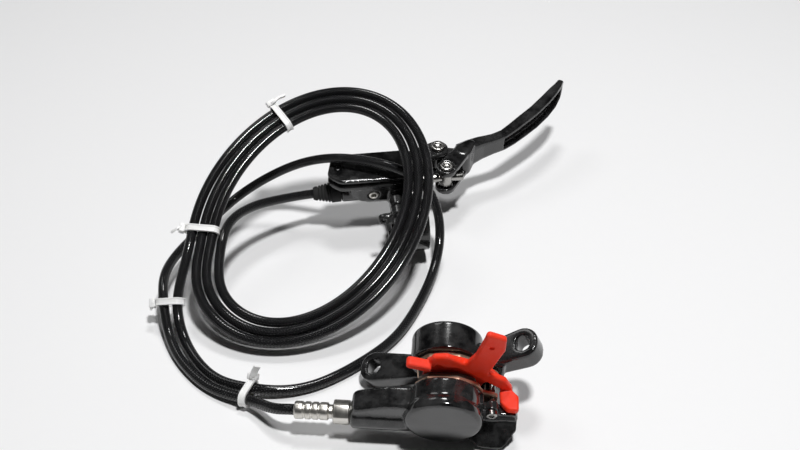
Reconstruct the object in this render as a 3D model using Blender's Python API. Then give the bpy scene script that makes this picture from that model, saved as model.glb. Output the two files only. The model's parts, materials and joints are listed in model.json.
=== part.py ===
"""Hydraulic disc brake of a bicycle, laid on a bench with its hose coiled up.

A lever assembly (perch clamp, master cylinder with reservoir, pivoted blade with
its reach screw and swivel barrel) feeds a two piston post mount caliper through
one braided hose. Sizes are in millimetres, and MM turns them into metres.
"""

import math

import bmesh
import bpy
from mathutils import Matrix, Vector

MM = 0.001
GAP = 0.3
MERGE = 0.004

# Bench layout, X to the right, Y away from the viewer, Z up
BENCH_ORIGIN = (24.9, 490.9)
LEVER_PLACE = (4.9, 506.9, 19.06)
LEVER_YAW = 8.0
LEVER_RAISE = 10.0
CALIPER_PLACE = (20.5, 382.6, 25.41)
CALIPER_YAW = -4.2
CALIPER_LEAN = 15.7
CALIPER_ROLL = -22.0

# Handlebar clamp
BAR_RADIUS = 11.1
BAR_CLEARANCE = 0.1
CLAMP_WALL = 2.6
CLAMP_LEFT = -8.5
CLAMP_RIGHT = 9.5
CLAMP_SPLIT = 0.5
CLAMP_BOLT_X = -6.5
CLAMP_BOLT_Z = 14.4
CLAMP_BOLT_RADIUS = 2.0
CLAMP_BOLT_HEAD_RADIUS = 3.3
CLAMP_BOLT_HEAD = 2.4
CLAMP_LUG_RADIUS = 3.8
CLAMP_LUG_DEPTH = 6.5
TAB_X = -14.6
TAB_RADIUS = 2.9
TAB_THICKNESS = 3.0

# Master cylinder
CYLINDER_Y = 34.4
CYLINDER_RADIUS = 9.3
CYLINDER_MOUTH = 11.0
PORT_END = -33.4
PORT_RADIUS = 5.8
PORT_AXIS = (31.6, -1.8)
CYLINDER_HEAD = -27.5
MASTER_BORE = 5.0
BORE_BOTTOM = -21.0
PORT_BORE = 4.0
PORT_BORE_BOTTOM = -24.8
FLUID_HOLE = 0.9

# Reservoir
RESERVOIR_LEFT = -41.5
RESERVOIR_RIGHT = 5.5
RESERVOIR_NEAR = 21.5
RESERVOIR_FAR = 43.5
RESERVOIR_TOP = 11.4
RESERVOIR_OVERHANG = 7.0
BOOT_ROOM = 10.1
RESERVOIR_WALL = 2.2
RESERVOIR_FLOOR = 7.4
LID_THICKNESS = 2.4
DIAPHRAGM_THICKNESS = 0.8
LID_SCREW_RADIUS = 1.8
LID_SCREW_LEFT = 6.4
LID_SCREW_RIGHT = 3.0

# Bleed screw of the lever
BLEED_X = -16.3
BLEED_Z = 3.0
BLEED_BOSS_RADIUS = 4.3
BLEED_FACE = 22.4
BLEED_SCREW_RADIUS = 2.8

# Blade pivot, barrel and reach screw
PIVOT = (23.3, 50.3)
BARREL = (25.7, 34.3)
PIVOT_RADIUS = 2.4
PIVOT_HEAD_RADIUS = 4.1
PIVOT_HEAD = 1.5
EAR_RADIUS = 6.0
EAR_INNER = 4.5
EAR_OUTER = 8.2
BUSH_RADIUS = 3.5
EYE_RADIUS = 5.4
CHEEK_RADIUS = 5.8
CHEEK_INNER = 4.6
CHEEK_OUTER = 8.4
BARREL_RADIUS = 3.8
ROD_RADIUS = 2.4
ROD_NECK = 1.7
ROD_BALL = 2.2
ROD_TIP = 35.6
SOCKET_RADIUS = 3.7

# Master piston
PISTON_FRONT = -9.5
PISTON_REAR = 9.0
REAR_SEAL = -2.4
SOCKET_BOTTOM = 2.0
SPRING_TURNS = 5

# Blade of the lever: x, y, thickness, height
BLADE_STATIONS = (
    (36.0, 49.0, 9.5, 16.4),
    (42.0, 52.6, 8.4, 15.6),
    (49.5, 55.9, 7.2, 13.8),
    (57.0, 58.3, 6.4, 12.2),
    (63.6, 60.9, 6.4, 12.6),
    (70.0, 65.5, 6.8, 13.6),
    (77.0, 71.2, 7.2, 14.2),
    (85.5, 78.2, 7.2, 14.6),
    (94.0, 86.6, 7.0, 15.0),
    (100.5, 94.0, 6.2, 14.6),
    (104.8, 99.8, 5.0, 12.0),
    (108.0, 105.6, 3.8, 8.0),
)
CHANNEL_FIRST = 4
CHANNEL_LAST = 11
CHANNEL_DEPTH = 3.6
CHANNEL_WALL = 2.0

# Caliper
SLOT_HALF = 7.5
SLOT_FLOOR = -18.5
NEAR_FACE = -22.5
FAR_FACE = 22.0
PISTON_RADIUS = 12.0
CALIPER_BORE = PISTON_RADIUS + GAP
HALF_RADIUS = CALIPER_BORE + 3.9
CAP_RADIUS = HALF_RADIUS + 1.0
NEAR_BORE_BOTTOM = -19.4
PISTON_PROUD = 0.5
PISTON_LENGTH = 11.0
SEAL_GROOVE = CALIPER_BORE + 1.7
SEAL_NEAR = 9.6
SEAL_WIDTH = 2.2
BORE_CAP_RADIUS = CALIPER_BORE + 2.3
BORE_CAP_DEPTH = 2.8
EAR_SPACING = 74.0
EAR_FIRST_X = 34.1
EAR_Y = 17.5
EAR_TOP = -5.6
EAR_DEPTH = 8.4
RIGHT_EAR_DEPTH = 10.6
MOUNT_EAR_RADIUS = 7.0
MOUNT_HOLE_RADIUS = 3.4
MOUNT_HOLE_TRAVEL = 0.9
BRIDGE_HALF = 18.2
PORT_Y = -14.5
PORT_Z = -8.0
PORT_BOSS_END = -41.8
PORT_BOSS_RADIUS = 7.0
NUT_ACROSS = 10.0
NUT_LENGTH = 7.6
FERRULE_RADIUS = 4.1
FERRULE_LENGTH = 17.4
PIN_X = 21.1
PIN_Z = -2.3
PIN_RADIUS = 1.5
PIN_HEAD_RADIUS = 2.6
PIN_SEAT = -13.4
PIN_LUG_RADIUS = 3.0
SHELF_X = 17.4
SHELF_Z = -5.2
SHELF_FACE = -13.2
CHIN_FACE = -24.0
FAR_SIDE_X = 26.5
SLOT_DEEP_X = 15.5
SLOT_DEEP = -31.0
PIN_FAR = 14.5
PLATE_THICKNESS = 1.8
LINING_THICKNESS = 2.6
SPACER_HALF = 1.0
SPACER_STRIP_NEAR = -2.8
SPACER_STRIP_FAR = 0.2

# Hose
HOSE_RADIUS = 2.5
HOSE_START = -37.5
LANE = 5.3
LANES = 3
COIL_CENTRE = (-45.6, 490.3, 41.2)
COIL_SLOPE = 27.3
COIL_TURN = 62.5
COIL_LONG = 71.3
COIL_SHORT = 50.5
TIE_WALL = 1.1
TIE_ROOM = 0.7
TIE_WIDTH = 4.6


def material(name, colour, roughness, metallic=0.0):
    """One Principled material."""
    made = bpy.data.materials.new(name)
    made.use_nodes = True
    shader = made.node_tree.nodes["Principled BSDF"]
    shader.inputs["Base Color"].default_value = (*colour, 1.0)
    shader.inputs["Roughness"].default_value = roughness
    shader.inputs["Metallic"].default_value = metallic
    made.diffuse_color = (*colour, 1.0)
    return made


def frame(name, place, turn=(0.0, 0.0, 0.0), parent=None, order="XYZ"):
    """An empty that carries pieces; place in millimetres, turn in degrees."""
    empty = bpy.data.objects.new(name, None)
    bpy.context.scene.collection.objects.link(empty)
    empty.rotation_mode = order
    empty.location = Vector(place) * MM
    empty.rotation_euler = [math.radians(angle) for angle in turn]
    empty.empty_display_size = 10 * MM
    empty.parent = parent
    return empty


def solid(name, verts, faces, parent=None, paint=None):
    """A mesh object from points in millimetres, its faces turned outwards."""
    mesh = bpy.data.meshes.new(name)
    mesh.from_pydata([Vector(v) * MM for v in verts], [], faces)
    edit = bmesh.new()
    edit.from_mesh(mesh)
    bmesh.ops.recalc_face_normals(edit, faces=edit.faces)
    edit.to_mesh(mesh)
    edit.free()
    made = bpy.data.objects.new(name, mesh)
    bpy.context.scene.collection.objects.link(made)
    made.parent = parent
    if paint:
        mesh.materials.append(paint)
    return made


def axis_point(axis, u, v, w):
    """A point whose w runs along the axis and u, v across it."""
    if axis == "X":
        return (w, u, v)
    if axis == "Y":
        return (v, w, u)
    return (u, v, w)


def turned(name, profile, at=(0, 0, 0), axis="X", segments=24, closed=False, phase=0.0, **more):
    """A turned solid: profile holds (radius, place along the axis) points."""
    verts = []
    rings = []
    for radius, along in profile:
        count = 1 if radius == 0 else segments
        rings.append(range(len(verts), len(verts) + count))
        for step in range(count):
            angle = 2 * math.pi * (step + phase) / segments
            u = radius * math.cos(angle)
            v = radius * math.sin(angle)
            point = axis_point(axis, u, v, along)
            verts.append([point[i] + at[i] for i in range(3)])
    pairs = list(zip(rings[:-1], rings[1:]))
    if closed:
        pairs.append((rings[-1], rings[0]))
    faces = []
    for first, second in pairs:
        for step in range(segments):
            after = (step + 1) % segments
            if len(first) == 1:
                faces.append((first[0], second[step], second[after]))
            elif len(second) == 1:
                faces.append((first[step], second[0], first[after]))
            else:
                faces.append((first[step], second[step], second[after], first[after]))
    if not closed:
        for ring in (rings[0], rings[-1]):
            if len(ring) > 1:
                faces.append(tuple(ring))
    return solid(name, verts, faces, **more)


def tube_profile(inner, outer, low, high):
    """Closed profile of a plain ring."""
    return [(inner, low), (outer, low), (outer, high), (inner, high)]


def rod_profile(radius, low, high, chamfer=0.0):
    """Profile of a plain rod, its ends chamfered if asked."""
    if not chamfer:
        return [(0, low), (radius, low), (radius, high), (0, high)]
    return [(0, low), (radius - chamfer, low), (radius, low + chamfer),
            (radius, high - chamfer), (radius - chamfer, high), (0, high)]


def drill(radius, low, high, parent, at=(0, 0, 0), axis="X", segments=16):
    """Round cutter, turned by part of a step so that its edges miss the body's own."""
    return turned("drill", rod_profile(radius, low, high), at=at, axis=axis, segments=segments,
                  phase=0.37, parent=parent)


def arc(x, y, radius, start, stop, steps):
    """Points of an arc, angles in degrees."""
    angles = [math.radians(start + (stop - start) * k / steps) for k in range(steps + 1)]
    return [(x + radius * math.cos(a), y + radius * math.sin(a)) for a in angles]


def hull(circles, steps=24):
    """Outline that wraps round circles given as (x, y, radius)."""
    points = []
    for x, y, radius in circles:
        points += arc(x, y, radius, 0, 360 - 360 / steps, steps - 1)
    points = sorted(set((round(x, 5), round(y, 5)) for x, y in points))

    def half(order):
        chain = []
        for point in order:
            while len(chain) > 1 and cross(chain[-2], chain[-1], point) <= 1e-9:
                chain.pop()
            chain.append(point)
        return chain[:-1]

    return half(points) + half(points[::-1])


def cross(a, b, c):
    """Twice the area of a triangle."""
    return (b[0] - a[0]) * (c[1] - a[1]) - (b[1] - a[1]) * (c[0] - a[0])


def rounded(corners, radius, steps=4):
    """Outline with each corner filleted; a corner may give its own radius third."""
    outline = []
    count = len(corners)
    for index, corner in enumerate(corners):
        here = Vector(corner[:2])
        size = corner[2] if len(corner) > 2 else radius
        before = Vector(corners[index - 1][:2]) - here
        after = Vector(corners[(index + 1) % count][:2]) - here
        half_angle = before.angle(after) / 2
        reach = min(size / math.tan(half_angle), 0.49 * before.length, 0.49 * after.length)
        if size <= 0 or half_angle > math.radians(88):
            outline.append(tuple(here))
            continue
        first = here + before.normalized() * reach
        last = here + after.normalized() * reach
        for step in range(steps + 1):
            t = step / steps
            outline.append(tuple(first.lerp(here, t).lerp(here.lerp(last, t), t)))
    return outline


def extruded(name, outline, low, high, axis="Z", at=(0, 0, 0), **more):
    """A prism on an outline; the outline's two numbers lie across the axis."""
    verts = []
    for along in (low, high):
        for u, v in outline:
            if axis == "Y":
                point = (u, along, v)
            else:
                point = axis_point(axis, u, v, along)
            verts.append([point[i] + at[i] for i in range(3)])
    count = len(outline)
    faces = [tuple(range(count)), tuple(range(count, 2 * count))]
    for step in range(count):
        after = (step + 1) % count
        faces.append((step, after, count + after, count + step))
    return solid(name, verts, faces, **more)


def box(name, low, high, **more):
    """A plain block between two corners."""
    outline = [(low[0], low[1]), (high[0], low[1]), (high[0], high[1]), (low[0], high[1])]
    return extruded(name, outline, low[2], high[2], **more)


def lofted(name, sections, **more):
    """A solid through rings of equal point counts, its ends capped."""
    count = len(sections[0])
    verts = [point for section in sections for point in section]
    faces = [tuple(range(count)), tuple(range(len(verts) - count, len(verts)))]
    for ring in range(len(sections) - 1):
        start = ring * count
        for step in range(count):
            after = (step + 1) % count
            faces.append((start + step, start + after,
                          start + count + after, start + count + step))
    return solid(name, verts, faces, **more)


def bevel(made, width, segments=2, angle=30):
    """Rounds the sharp edges."""
    modifier = made.modifiers.new("edge_round", "BEVEL")
    modifier.width = width * MM
    modifier.segments = segments
    modifier.limit_method = "ANGLE"
    modifier.angle_limit = math.radians(angle)
    modifier.use_clamp_overlap = True
    return made


def bake(made):
    """Gives the object the mesh that its modifiers make."""
    bpy.context.view_layer.update()
    graph = bpy.context.evaluated_depsgraph_get()
    mesh = bpy.data.meshes.new_from_object(made.evaluated_get(graph))
    made.modifiers.clear()
    made.data = mesh
    return made


def combine(made, others, operation):
    """Joins the others to the object or cuts them out of it, one after another."""
    for index, other in enumerate(others):
        modifier = made.modifiers.new(f"{operation.lower()}_{index}", "BOOLEAN")
        modifier.operation = operation
        modifier.solver = "EXACT"
        modifier.object = other
    bake(made)
    for other in others:
        bpy.data.objects.remove(other)
    edit = bmesh.new()
    edit.from_mesh(made.data)
    bmesh.ops.remove_doubles(edit, verts=edit.verts, dist=MERGE * MM)
    bmesh.ops.dissolve_degenerate(edit, edges=edit.edges, dist=MERGE * MM)
    edit.to_mesh(made.data)
    edit.free()
    return made


def joined(made, *others):
    """One body from several that meet."""
    return combine(made, others, "UNION")


def cut(made, *others):
    """The body less its cutters."""
    return combine(made, others, "DIFFERENCE")


def smooth(made, angle=35):
    """Shades round faces smooth and keeps the sharp edges."""
    made.data.shade_smooth()
    made.data.set_sharp_from_angle(angle=math.radians(angle))
    return made


def star(radius, depth, lobes=6, steps=18):
    """Outline of a six lobe screw recess."""
    points = []
    for step in range(steps):
        angle = 2 * math.pi * step / steps
        reach = radius + depth * math.cos(lobes * angle)
        points.append((reach * math.cos(angle), reach * math.sin(angle)))
    return points


def polygon(radius, sides, phase=0.0):
    """Regular outline by its corner radius."""
    return [(radius * math.cos(math.radians(phase) + 2 * math.pi * k / sides),
             radius * math.sin(math.radians(phase) + 2 * math.pi * k / sides))
            for k in range(sides)]


def smooth_route(points, spacing):
    """Even points along a smooth curve through the route's own points."""
    ends = [Vector(p) for p in points]
    padded = [ends[0] * 2 - ends[1]] + ends + [ends[-1] * 2 - ends[-2]]
    fine = []
    for a, b, c, d in zip(padded, padded[1:], padded[2:], padded[3:]):
        for step in range(16):
            t = step / 16
            fine.append(0.5 * ((2 * b) + (c - a) * t + (2 * a - 5 * b + 4 * c - d) * t * t
                               + (3 * b - a - 3 * c + d) * t ** 3))
    fine.append(ends[-1])
    length = sum((q - p).length for p, q in zip(fine, fine[1:]))
    count = max(2, round(length / spacing))
    route = [fine[0]]
    wanted = length / count
    walked = 0.0
    for p, q in zip(fine, fine[1:]):
        piece = (q - p).length
        while walked + piece >= wanted - 1e-9 and len(route) < count:
            route.append(p.lerp(q, (wanted - walked) / piece))
            wanted += length / count
        walked += piece
    route.append(fine[-1])
    return route


def hose(name, points, paint, parent, spacing=9.6):
    """A plain hose tube along its route, its first and last stretches straight."""
    route = [Vector(points[0])] + smooth_route(points[1:-1], spacing) + [Vector(points[-1])]
    curve = bpy.data.curves.new(name, "CURVE")
    curve.dimensions = "3D"
    spline = curve.splines.new("POLY")
    spline.points.add(len(route) - 1)
    for point, place in zip(spline.points, route):
        point.co = (*(Vector(place) * MM), 1.0)
    curve.bevel_depth = HOSE_RADIUS * MM
    curve.bevel_resolution = 2
    curve.use_fill_caps = True
    curve.materials.append(paint)
    made = bpy.data.objects.new(name, curve)
    bpy.context.scene.collection.objects.link(made)
    made.parent = parent
    return made


def in_frame(place, turns, point):
    """Bench position of a point of a turned frame; turns are (axis, degrees) outermost first."""
    matrix = Matrix.Identity(3)
    for axis, angle in turns:
        matrix = matrix @ Matrix.Rotation(math.radians(angle), 3, axis)
    return Vector(place) + matrix @ Vector(point)


def lever_point(x, y, z):
    """Bench position of a point of the lever frame."""
    return in_frame(LEVER_PLACE, (("Z", LEVER_YAW), ("X", LEVER_RAISE)), (x, y, z))


def caliper_point(x, y, z):
    """Bench position of a point of the upright caliper frame."""
    return in_frame(CALIPER_PLACE, (("Z", CALIPER_YAW), ("X", CALIPER_LEAN)), (x, y, z))


def clamp_half(name, side, parent, paint):
    """One half of the clamp, a solid half disc with two bolt lugs; side is 1 for the front."""
    outer = BAR_RADIUS + BAR_CLEARANCE + CLAMP_WALL
    split = CLAMP_SPLIT / 2
    start = math.degrees(math.asin(split / outer))
    outline = [(side * y, z) for y, z in arc(0, 0, outer, 90 - start, -90 + start, 18)]
    made = extruded(name, outline, CLAMP_LEFT, CLAMP_RIGHT, axis="X", parent=parent, paint=paint)
    lugs = []
    for level in (1, -1):
        ends = sorted((side * split, side * CLAMP_LUG_DEPTH))
        outline = hull([(CLAMP_BOLT_X, level * CLAMP_BOLT_Z, CLAMP_LUG_RADIUS),
                        (CLAMP_BOLT_X, level * (BAR_RADIUS - 2.0), CLAMP_LUG_RADIUS)], 16)
        lugs.append(extruded("lug", outline, ends[0], ends[1], axis="Y", parent=parent))
    return joined(made, *lugs)


def bar_cutter(parent):
    """The handlebar with its clearance."""
    return drill(BAR_RADIUS + BAR_CLEARANCE, -40, 40, parent, segments=48)


def build_master_body(parent, paint):
    """Cylinder, reservoir, stem, fixed clamp half, pivot ears and bleed boss, cast in one."""
    housing = turned("master_body", [
        (0, CYLINDER_HEAD), (CYLINDER_RADIUS - 3.0, CYLINDER_HEAD),
        (CYLINDER_RADIUS, CYLINDER_HEAD + 4), (CYLINDER_RADIUS, CYLINDER_MOUTH - 3.5),
        (CYLINDER_RADIUS - 2.4, CYLINDER_MOUTH), (0, CYLINDER_MOUTH)],
        at=(0, CYLINDER_Y, 0), segments=32, parent=parent, paint=paint)
    port = turned("port", [
        (0, PORT_END), (PORT_RADIUS - 0.6, PORT_END), (PORT_RADIUS, PORT_END + 0.6),
        (PORT_RADIUS, BORE_BOTTOM + 9.6), (0, BORE_BOTTOM + 9.6)],
        at=(0, *PORT_AXIS), segments=24, parent=parent)
    tank = extruded("tank", tank_outline(0, 0), RESERVOIR_OVERHANG, RESERVOIR_TOP,
                    parent=parent)
    keel = lofted("keel", [
        [(x, y, z) for x, y in tank_outline(inset, (inset - BOOT_ROOM) * 0.7, inset * 0.2)]
        for inset, z in ((BOOT_ROOM + 0.2, RESERVOIR_OVERHANG + 1.2), (BOOT_ROOM + 0.9, -1.3),
                         (BOOT_ROOM + 5.0, -5.5))], parent=parent)
    stem = lofted("stem", [
        [(x, y, z) for x, z in rounded([(left, -low), (right, -low), (right, low), (left, low)],
                                       2.5, 2)]
        for left, right, low, y in ((-8.3, 9.3, 6.6, 8.0), (-7.4, 8.2, 5.2, 14.0),
                                    (-7.6, 8.4, 5.4, 19.0), (-9.3, 9.4, 7.2, 27.0))],
        parent=parent)
    ears = []
    for level in (1, -1):
        low, high = sorted((level * EAR_INNER, level * EAR_OUTER))
        outline = hull([(*PIVOT, EAR_RADIUS), (3.0, 43.2, 4.7)], 20)
        ears.append(bevel(extruded("ear", outline, low, high, parent=parent), 0.6, 1, 60))
    neck = extruded("neck", hull([(3.6, 43.0, 5.0), (8.6, 44.6, 5.2)], 20), -EAR_OUTER + 0.25,
                    EAR_OUTER - 0.25, parent=parent)
    boss = turned("boss", rod_profile(BLEED_BOSS_RADIUS, BLEED_FACE, CYLINDER_Y, 0.5),
                  at=(BLEED_X, 0, BLEED_Z), axis="Y", segments=20, parent=parent)
    clamp = clamp_half("clamp", 1, parent, None)
    joined(housing, port, bevel(tank, 1.0, 1, 50), keel, stem, neck, *ears, boss, clamp)
    pocket = rounded([
        (RESERVOIR_LEFT + 7 + RESERVOIR_WALL, RESERVOIR_NEAR + RESERVOIR_WALL),
        (RESERVOIR_RIGHT - 4 - RESERVOIR_WALL, RESERVOIR_NEAR + RESERVOIR_WALL),
        (RESERVOIR_RIGHT - 4 - RESERVOIR_WALL, RESERVOIR_FAR - RESERVOIR_WALL),
        (RESERVOIR_LEFT + 7 + RESERVOIR_WALL, RESERVOIR_FAR - RESERVOIR_WALL)], 3, 3)
    on_axis = (0, CYLINDER_Y, 0)
    cutters = [
        extruded("pocket", pocket, RESERVOIR_FLOOR, RESERVOIR_TOP + 5, parent=parent),
        bar_cutter(parent),
        turned("port_bore", [
            (0, PORT_END - 4), (PORT_BORE, PORT_END - 4), (PORT_BORE, PORT_BORE_BOTTOM),
            (FLUID_HOLE, PORT_BORE_BOTTOM), (FLUID_HOLE, BORE_BOTTOM + 0.5), (0, BORE_BOTTOM + 0.5)],
            at=(0, *PORT_AXIS), segments=18, phase=0.37, parent=parent),
        turned("bore", [
            (0, BORE_BOTTOM), (MASTER_BORE, BORE_BOTTOM),
            (MASTER_BORE, CYLINDER_MOUTH - 2.2), (MASTER_BORE + 0.7, CYLINDER_MOUTH - 2.2),
            (MASTER_BORE + 0.7, CYLINDER_MOUTH - 0.9), (MASTER_BORE, CYLINDER_MOUTH - 0.9),
            (MASTER_BORE, CYLINDER_MOUTH + 4), (0, CYLINDER_MOUTH + 4)], at=on_axis,
            segments=20, phase=0.37, parent=parent),
        drill(FLUID_HOLE / 2 + 0.15, 3, RESERVOIR_FLOOR + 1, parent,
              (PISTON_FRONT - 4.0, CYLINDER_Y, 0), "Z", 8),
        drill(PIVOT_RADIUS + GAP, -12, 12, parent, (*PIVOT, 0), "Z"),
        drill(BLEED_SCREW_RADIUS + GAP, BLEED_FACE - 2, BLEED_FACE + 4.6, parent,
              (BLEED_X, 0, BLEED_Z), "Y"),
    ]
    for x, y in lid_screw_places():
        cutters.append(drill(0.9 + GAP, 5.2, 20, parent, (x, y, 0), "Z", 8))
    for level in (1, -1):
        cutters.append(drill(CLAMP_BOLT_RADIUS + GAP, -1, 5.6, parent,
                             (CLAMP_BOLT_X, 0, level * CLAMP_BOLT_Z), "Y", 12))
    return smooth(cut(housing, *cutters))


def tank_outline(left_inset, side_inset, right_inset=0.0):
    """Outline of the reservoir seen from above, drawn in by the insets."""
    left = RESERVOIR_LEFT + left_inset
    right = RESERVOIR_RIGHT - right_inset
    near = RESERVOIR_NEAR + side_inset
    far = RESERVOIR_FAR - side_inset
    return rounded([(left, near + 6), (left + 7, near), (right - 3, near), (right, near + 5),
                    (right, far), (left + 4, far)], 5, 3)


def lid_screw_places():
    """Centres of the two lid screws."""
    middle = (RESERVOIR_NEAR + RESERVOIR_FAR) / 2
    return ((RESERVOIR_LEFT + LID_SCREW_LEFT, middle), (RESERVOIR_RIGHT - LID_SCREW_RIGHT, middle))


def build_lid(parent, paint, rubber, steel):
    """Reservoir lid, diaphragm under it and its two screws."""
    base = RESERVOIR_TOP + GAP
    top = base + DIAPHRAGM_THICKNESS + GAP
    lid = bevel(extruded("reservoir_lid", tank_outline(0.1, 0.1, 0.1), top, top + LID_THICKNESS,
                         parent=parent, paint=paint), 0.7, 2, 60)
    inner = rounded([(RESERVOIR_LEFT + 8.6, RESERVOIR_NEAR + 1.4),
                     (RESERVOIR_RIGHT - 5.6, RESERVOIR_NEAR + 1.4),
                     (RESERVOIR_RIGHT - 5.6, RESERVOIR_FAR - 1.4),
                     (RESERVOIR_LEFT + 8.6, RESERVOIR_FAR - 1.4)], 3, 3)
    extruded("diaphragm", inner, base, base + DIAPHRAGM_THICKNESS, parent=parent, paint=rubber)
    holes = []
    for index, (x, y) in enumerate(lid_screw_places()):
        head_low = top + LID_THICKNESS - 1.1
        holes.append(turned("hole", [
            (0, top - 1), (0.9 + GAP, top - 1), (0.9 + GAP, head_low),
            (LID_SCREW_RADIUS + GAP, head_low), (LID_SCREW_RADIUS + GAP, top + 9), (0, top + 9)],
            at=(x, y, 0), axis="Z", segments=12, phase=0.37, parent=parent))
        screw = turned(f"lid_screw_{index + 1}", [
            (0, 5.6), (0.9, 5.6), (0.9, head_low + GAP), (LID_SCREW_RADIUS, head_low + GAP),
            (LID_SCREW_RADIUS, head_low + 1.2), (LID_SCREW_RADIUS - 0.4, head_low + 1.5),
            (0, head_low + 1.5)], at=(x, y, 0), axis="Z", segments=12, parent=parent,
            paint=steel)
        socket = extruded("socket", star(0.9, 0.14, steps=12), head_low + 0.9, head_low + 4,
                          at=(x, y, 0), parent=parent)
        smooth(cut(screw, socket))
    smooth(cut(bake(lid), *holes))


def build_clamp(parent, paint, steel):
    """Removable clamp half with its small tab, and its two bolts."""
    rear = clamp_half("bar_clamp", -1, parent, paint)
    tab_low = -CLAMP_LUG_DEPTH + 0.4
    tab = extruded("tab", hull([(TAB_X, CLAMP_BOLT_Z - 2.6, TAB_RADIUS),
                                (CLAMP_BOLT_X, CLAMP_BOLT_Z - 2.0, TAB_RADIUS)], 16),
                   tab_low, tab_low + TAB_THICKNESS, axis="Y", parent=parent)
    joined(rear, tab)
    holes = [bar_cutter(parent),
             drill(1.3, -20, 2, parent, (TAB_X, 0, CLAMP_BOLT_Z - 2.6), "Y", 12)]
    for level, name in ((1, "clamp_bolt_upper"), (-1, "clamp_bolt_lower")):
        at = (CLAMP_BOLT_X, 0, level * CLAMP_BOLT_Z)
        holes.append(drill(CLAMP_BOLT_RADIUS + GAP, -20, 2, parent, at, "Y", 12))
        holes.append(drill(CLAMP_BOLT_HEAD_RADIUS + GAP, -20, -CLAMP_LUG_DEPTH - 0.05, parent,
                           at, "Y", 16))
        seat = -CLAMP_LUG_DEPTH - GAP
        bolt = turned(name, [
            (0, seat - CLAMP_BOLT_HEAD), (CLAMP_BOLT_HEAD_RADIUS - 0.7, seat - CLAMP_BOLT_HEAD),
            (CLAMP_BOLT_HEAD_RADIUS, seat - CLAMP_BOLT_HEAD + 0.8),
            (CLAMP_BOLT_HEAD_RADIUS, seat), (CLAMP_BOLT_RADIUS, seat),
            (CLAMP_BOLT_RADIUS, 4.6), (CLAMP_BOLT_RADIUS - 0.4, 5.0), (0, 5.0)],
            at=at, axis="Y", segments=16, parent=parent, paint=steel)
        socket = extruded("socket", polygon(1.7, 6), seat - CLAMP_BOLT_HEAD - 1,
                          seat - 0.6, axis="Y", at=at, parent=parent)
        smooth(cut(bolt, socket))
    smooth(cut(rear, *holes))


def screw_head(name, radius, thickness, shank, low, parent, paint, at=(0, 0, 0)):
    """A pan head pin along Z with a six lobe recess; the head sits on top of the shank."""
    made = turned(name, [
        (0, low), (shank - 0.3, low), (shank, low + 0.3), (shank, 0), (radius, 0),
        (radius, thickness - 0.5), (radius - 0.5, thickness), (0, thickness)],
        axis="Z", segments=20, parent=parent, paint=paint, at=at)
    socket = extruded("socket", star(radius * 0.48, radius * 0.07), thickness * 0.35,
                      thickness + 3, at=at, parent=parent)
    return smooth(cut(made, socket))


def blade_section(x, y, heading, thickness, height):
    """One rounded section of the blade, square to its run."""
    corner = min(thickness, height) * 0.3
    outline = rounded([(-thickness / 2, -height / 2), (thickness / 2, -height / 2),
                       (thickness / 2, height / 2), (-thickness / 2, height / 2)], corner, 2)
    across = (-math.sin(heading), math.cos(heading))
    return [(x + u * across[0], y + u * across[1], v) for u, v in outline]


def blade_headings(stations):
    """Direction of the run at each station."""
    headings = []
    for index in range(len(stations)):
        before = stations[max(index - 1, 0)]
        after = stations[min(index + 1, len(stations) - 1)]
        headings.append(math.atan2(after[1] - before[1], after[0] - before[0]))
    return headings


def build_blade(parent, paint):
    """Lever blade: pivot eye, barrel fork and the kinked beam with a channel in its back."""
    headings = blade_headings(BLADE_STATIONS)
    shift = (-PIVOT[0], -PIVOT[1], 0)
    beam = lofted("lever_blade", [
        [(px + shift[0], py + shift[1], pz) for px, py, pz in
         blade_section(x, y, heading, thickness, height)]
        for (x, y, thickness, height), heading in zip(BLADE_STATIONS, headings)],
        parent=parent, paint=paint)
    knuckle = (37.6, 47.6)
    web = extruded("web", hull([(*PIVOT, EYE_RADIUS), (*knuckle, 4.0)], 20), -4.2, 4.2,
                   at=shift, parent=parent)
    hub = extruded("hub", hull([(*knuckle, 5.0), (42.0, 52.0, 3.2)], 20), -CHEEK_OUTER - 0.2,
                   CHEEK_OUTER + 0.2, at=shift, parent=parent)
    cheeks = []
    for level in (1, -1):
        low, high = sorted((level * CHEEK_INNER, level * CHEEK_OUTER))
        outline = hull([(*BARREL, CHEEK_RADIUS), (*knuckle, 4.4)], 20)
        cheeks.append(bevel(extruded("cheek", outline, low, high, at=shift, parent=parent),
                            0.6, 1, 60))
    joined(beam, web, bevel(hub, 0.8, 1, 60), *cheeks)
    channel = []
    for index in range(CHANNEL_FIRST, CHANNEL_LAST):
        x, y, thickness, height = BLADE_STATIONS[index]
        heading = headings[index]
        step = 1.5 * ((index == CHANNEL_LAST - 1) - (index == CHANNEL_FIRST))
        x += step * math.cos(heading)
        y += step * math.sin(heading)
        deep = height / 2 - CHANNEL_WALL
        run = [(-thickness / 2 - 4, -deep), (-thickness / 2 + CHANNEL_DEPTH, -deep + 0.8),
               (-thickness / 2 + CHANNEL_DEPTH, deep - 0.8), (-thickness / 2 - 4, deep)]
        across = (-math.sin(heading), math.cos(heading))
        channel.append([(x + u * across[0] + shift[0], y + u * across[1] + shift[1], v)
                        for u, v in run])
    cutters = [
        lofted("channel", channel, parent=parent),
        drill(BUSH_RADIUS + GAP, -12, 12, parent, axis="Z", segments=20),
        drill(BARREL_RADIUS + GAP, -12, 12, parent,
              (BARREL[0] - PIVOT[0], BARREL[1] - PIVOT[1], 0), "Z", 20),
    ]
    return smooth(cut(beam, *cutters))


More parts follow.
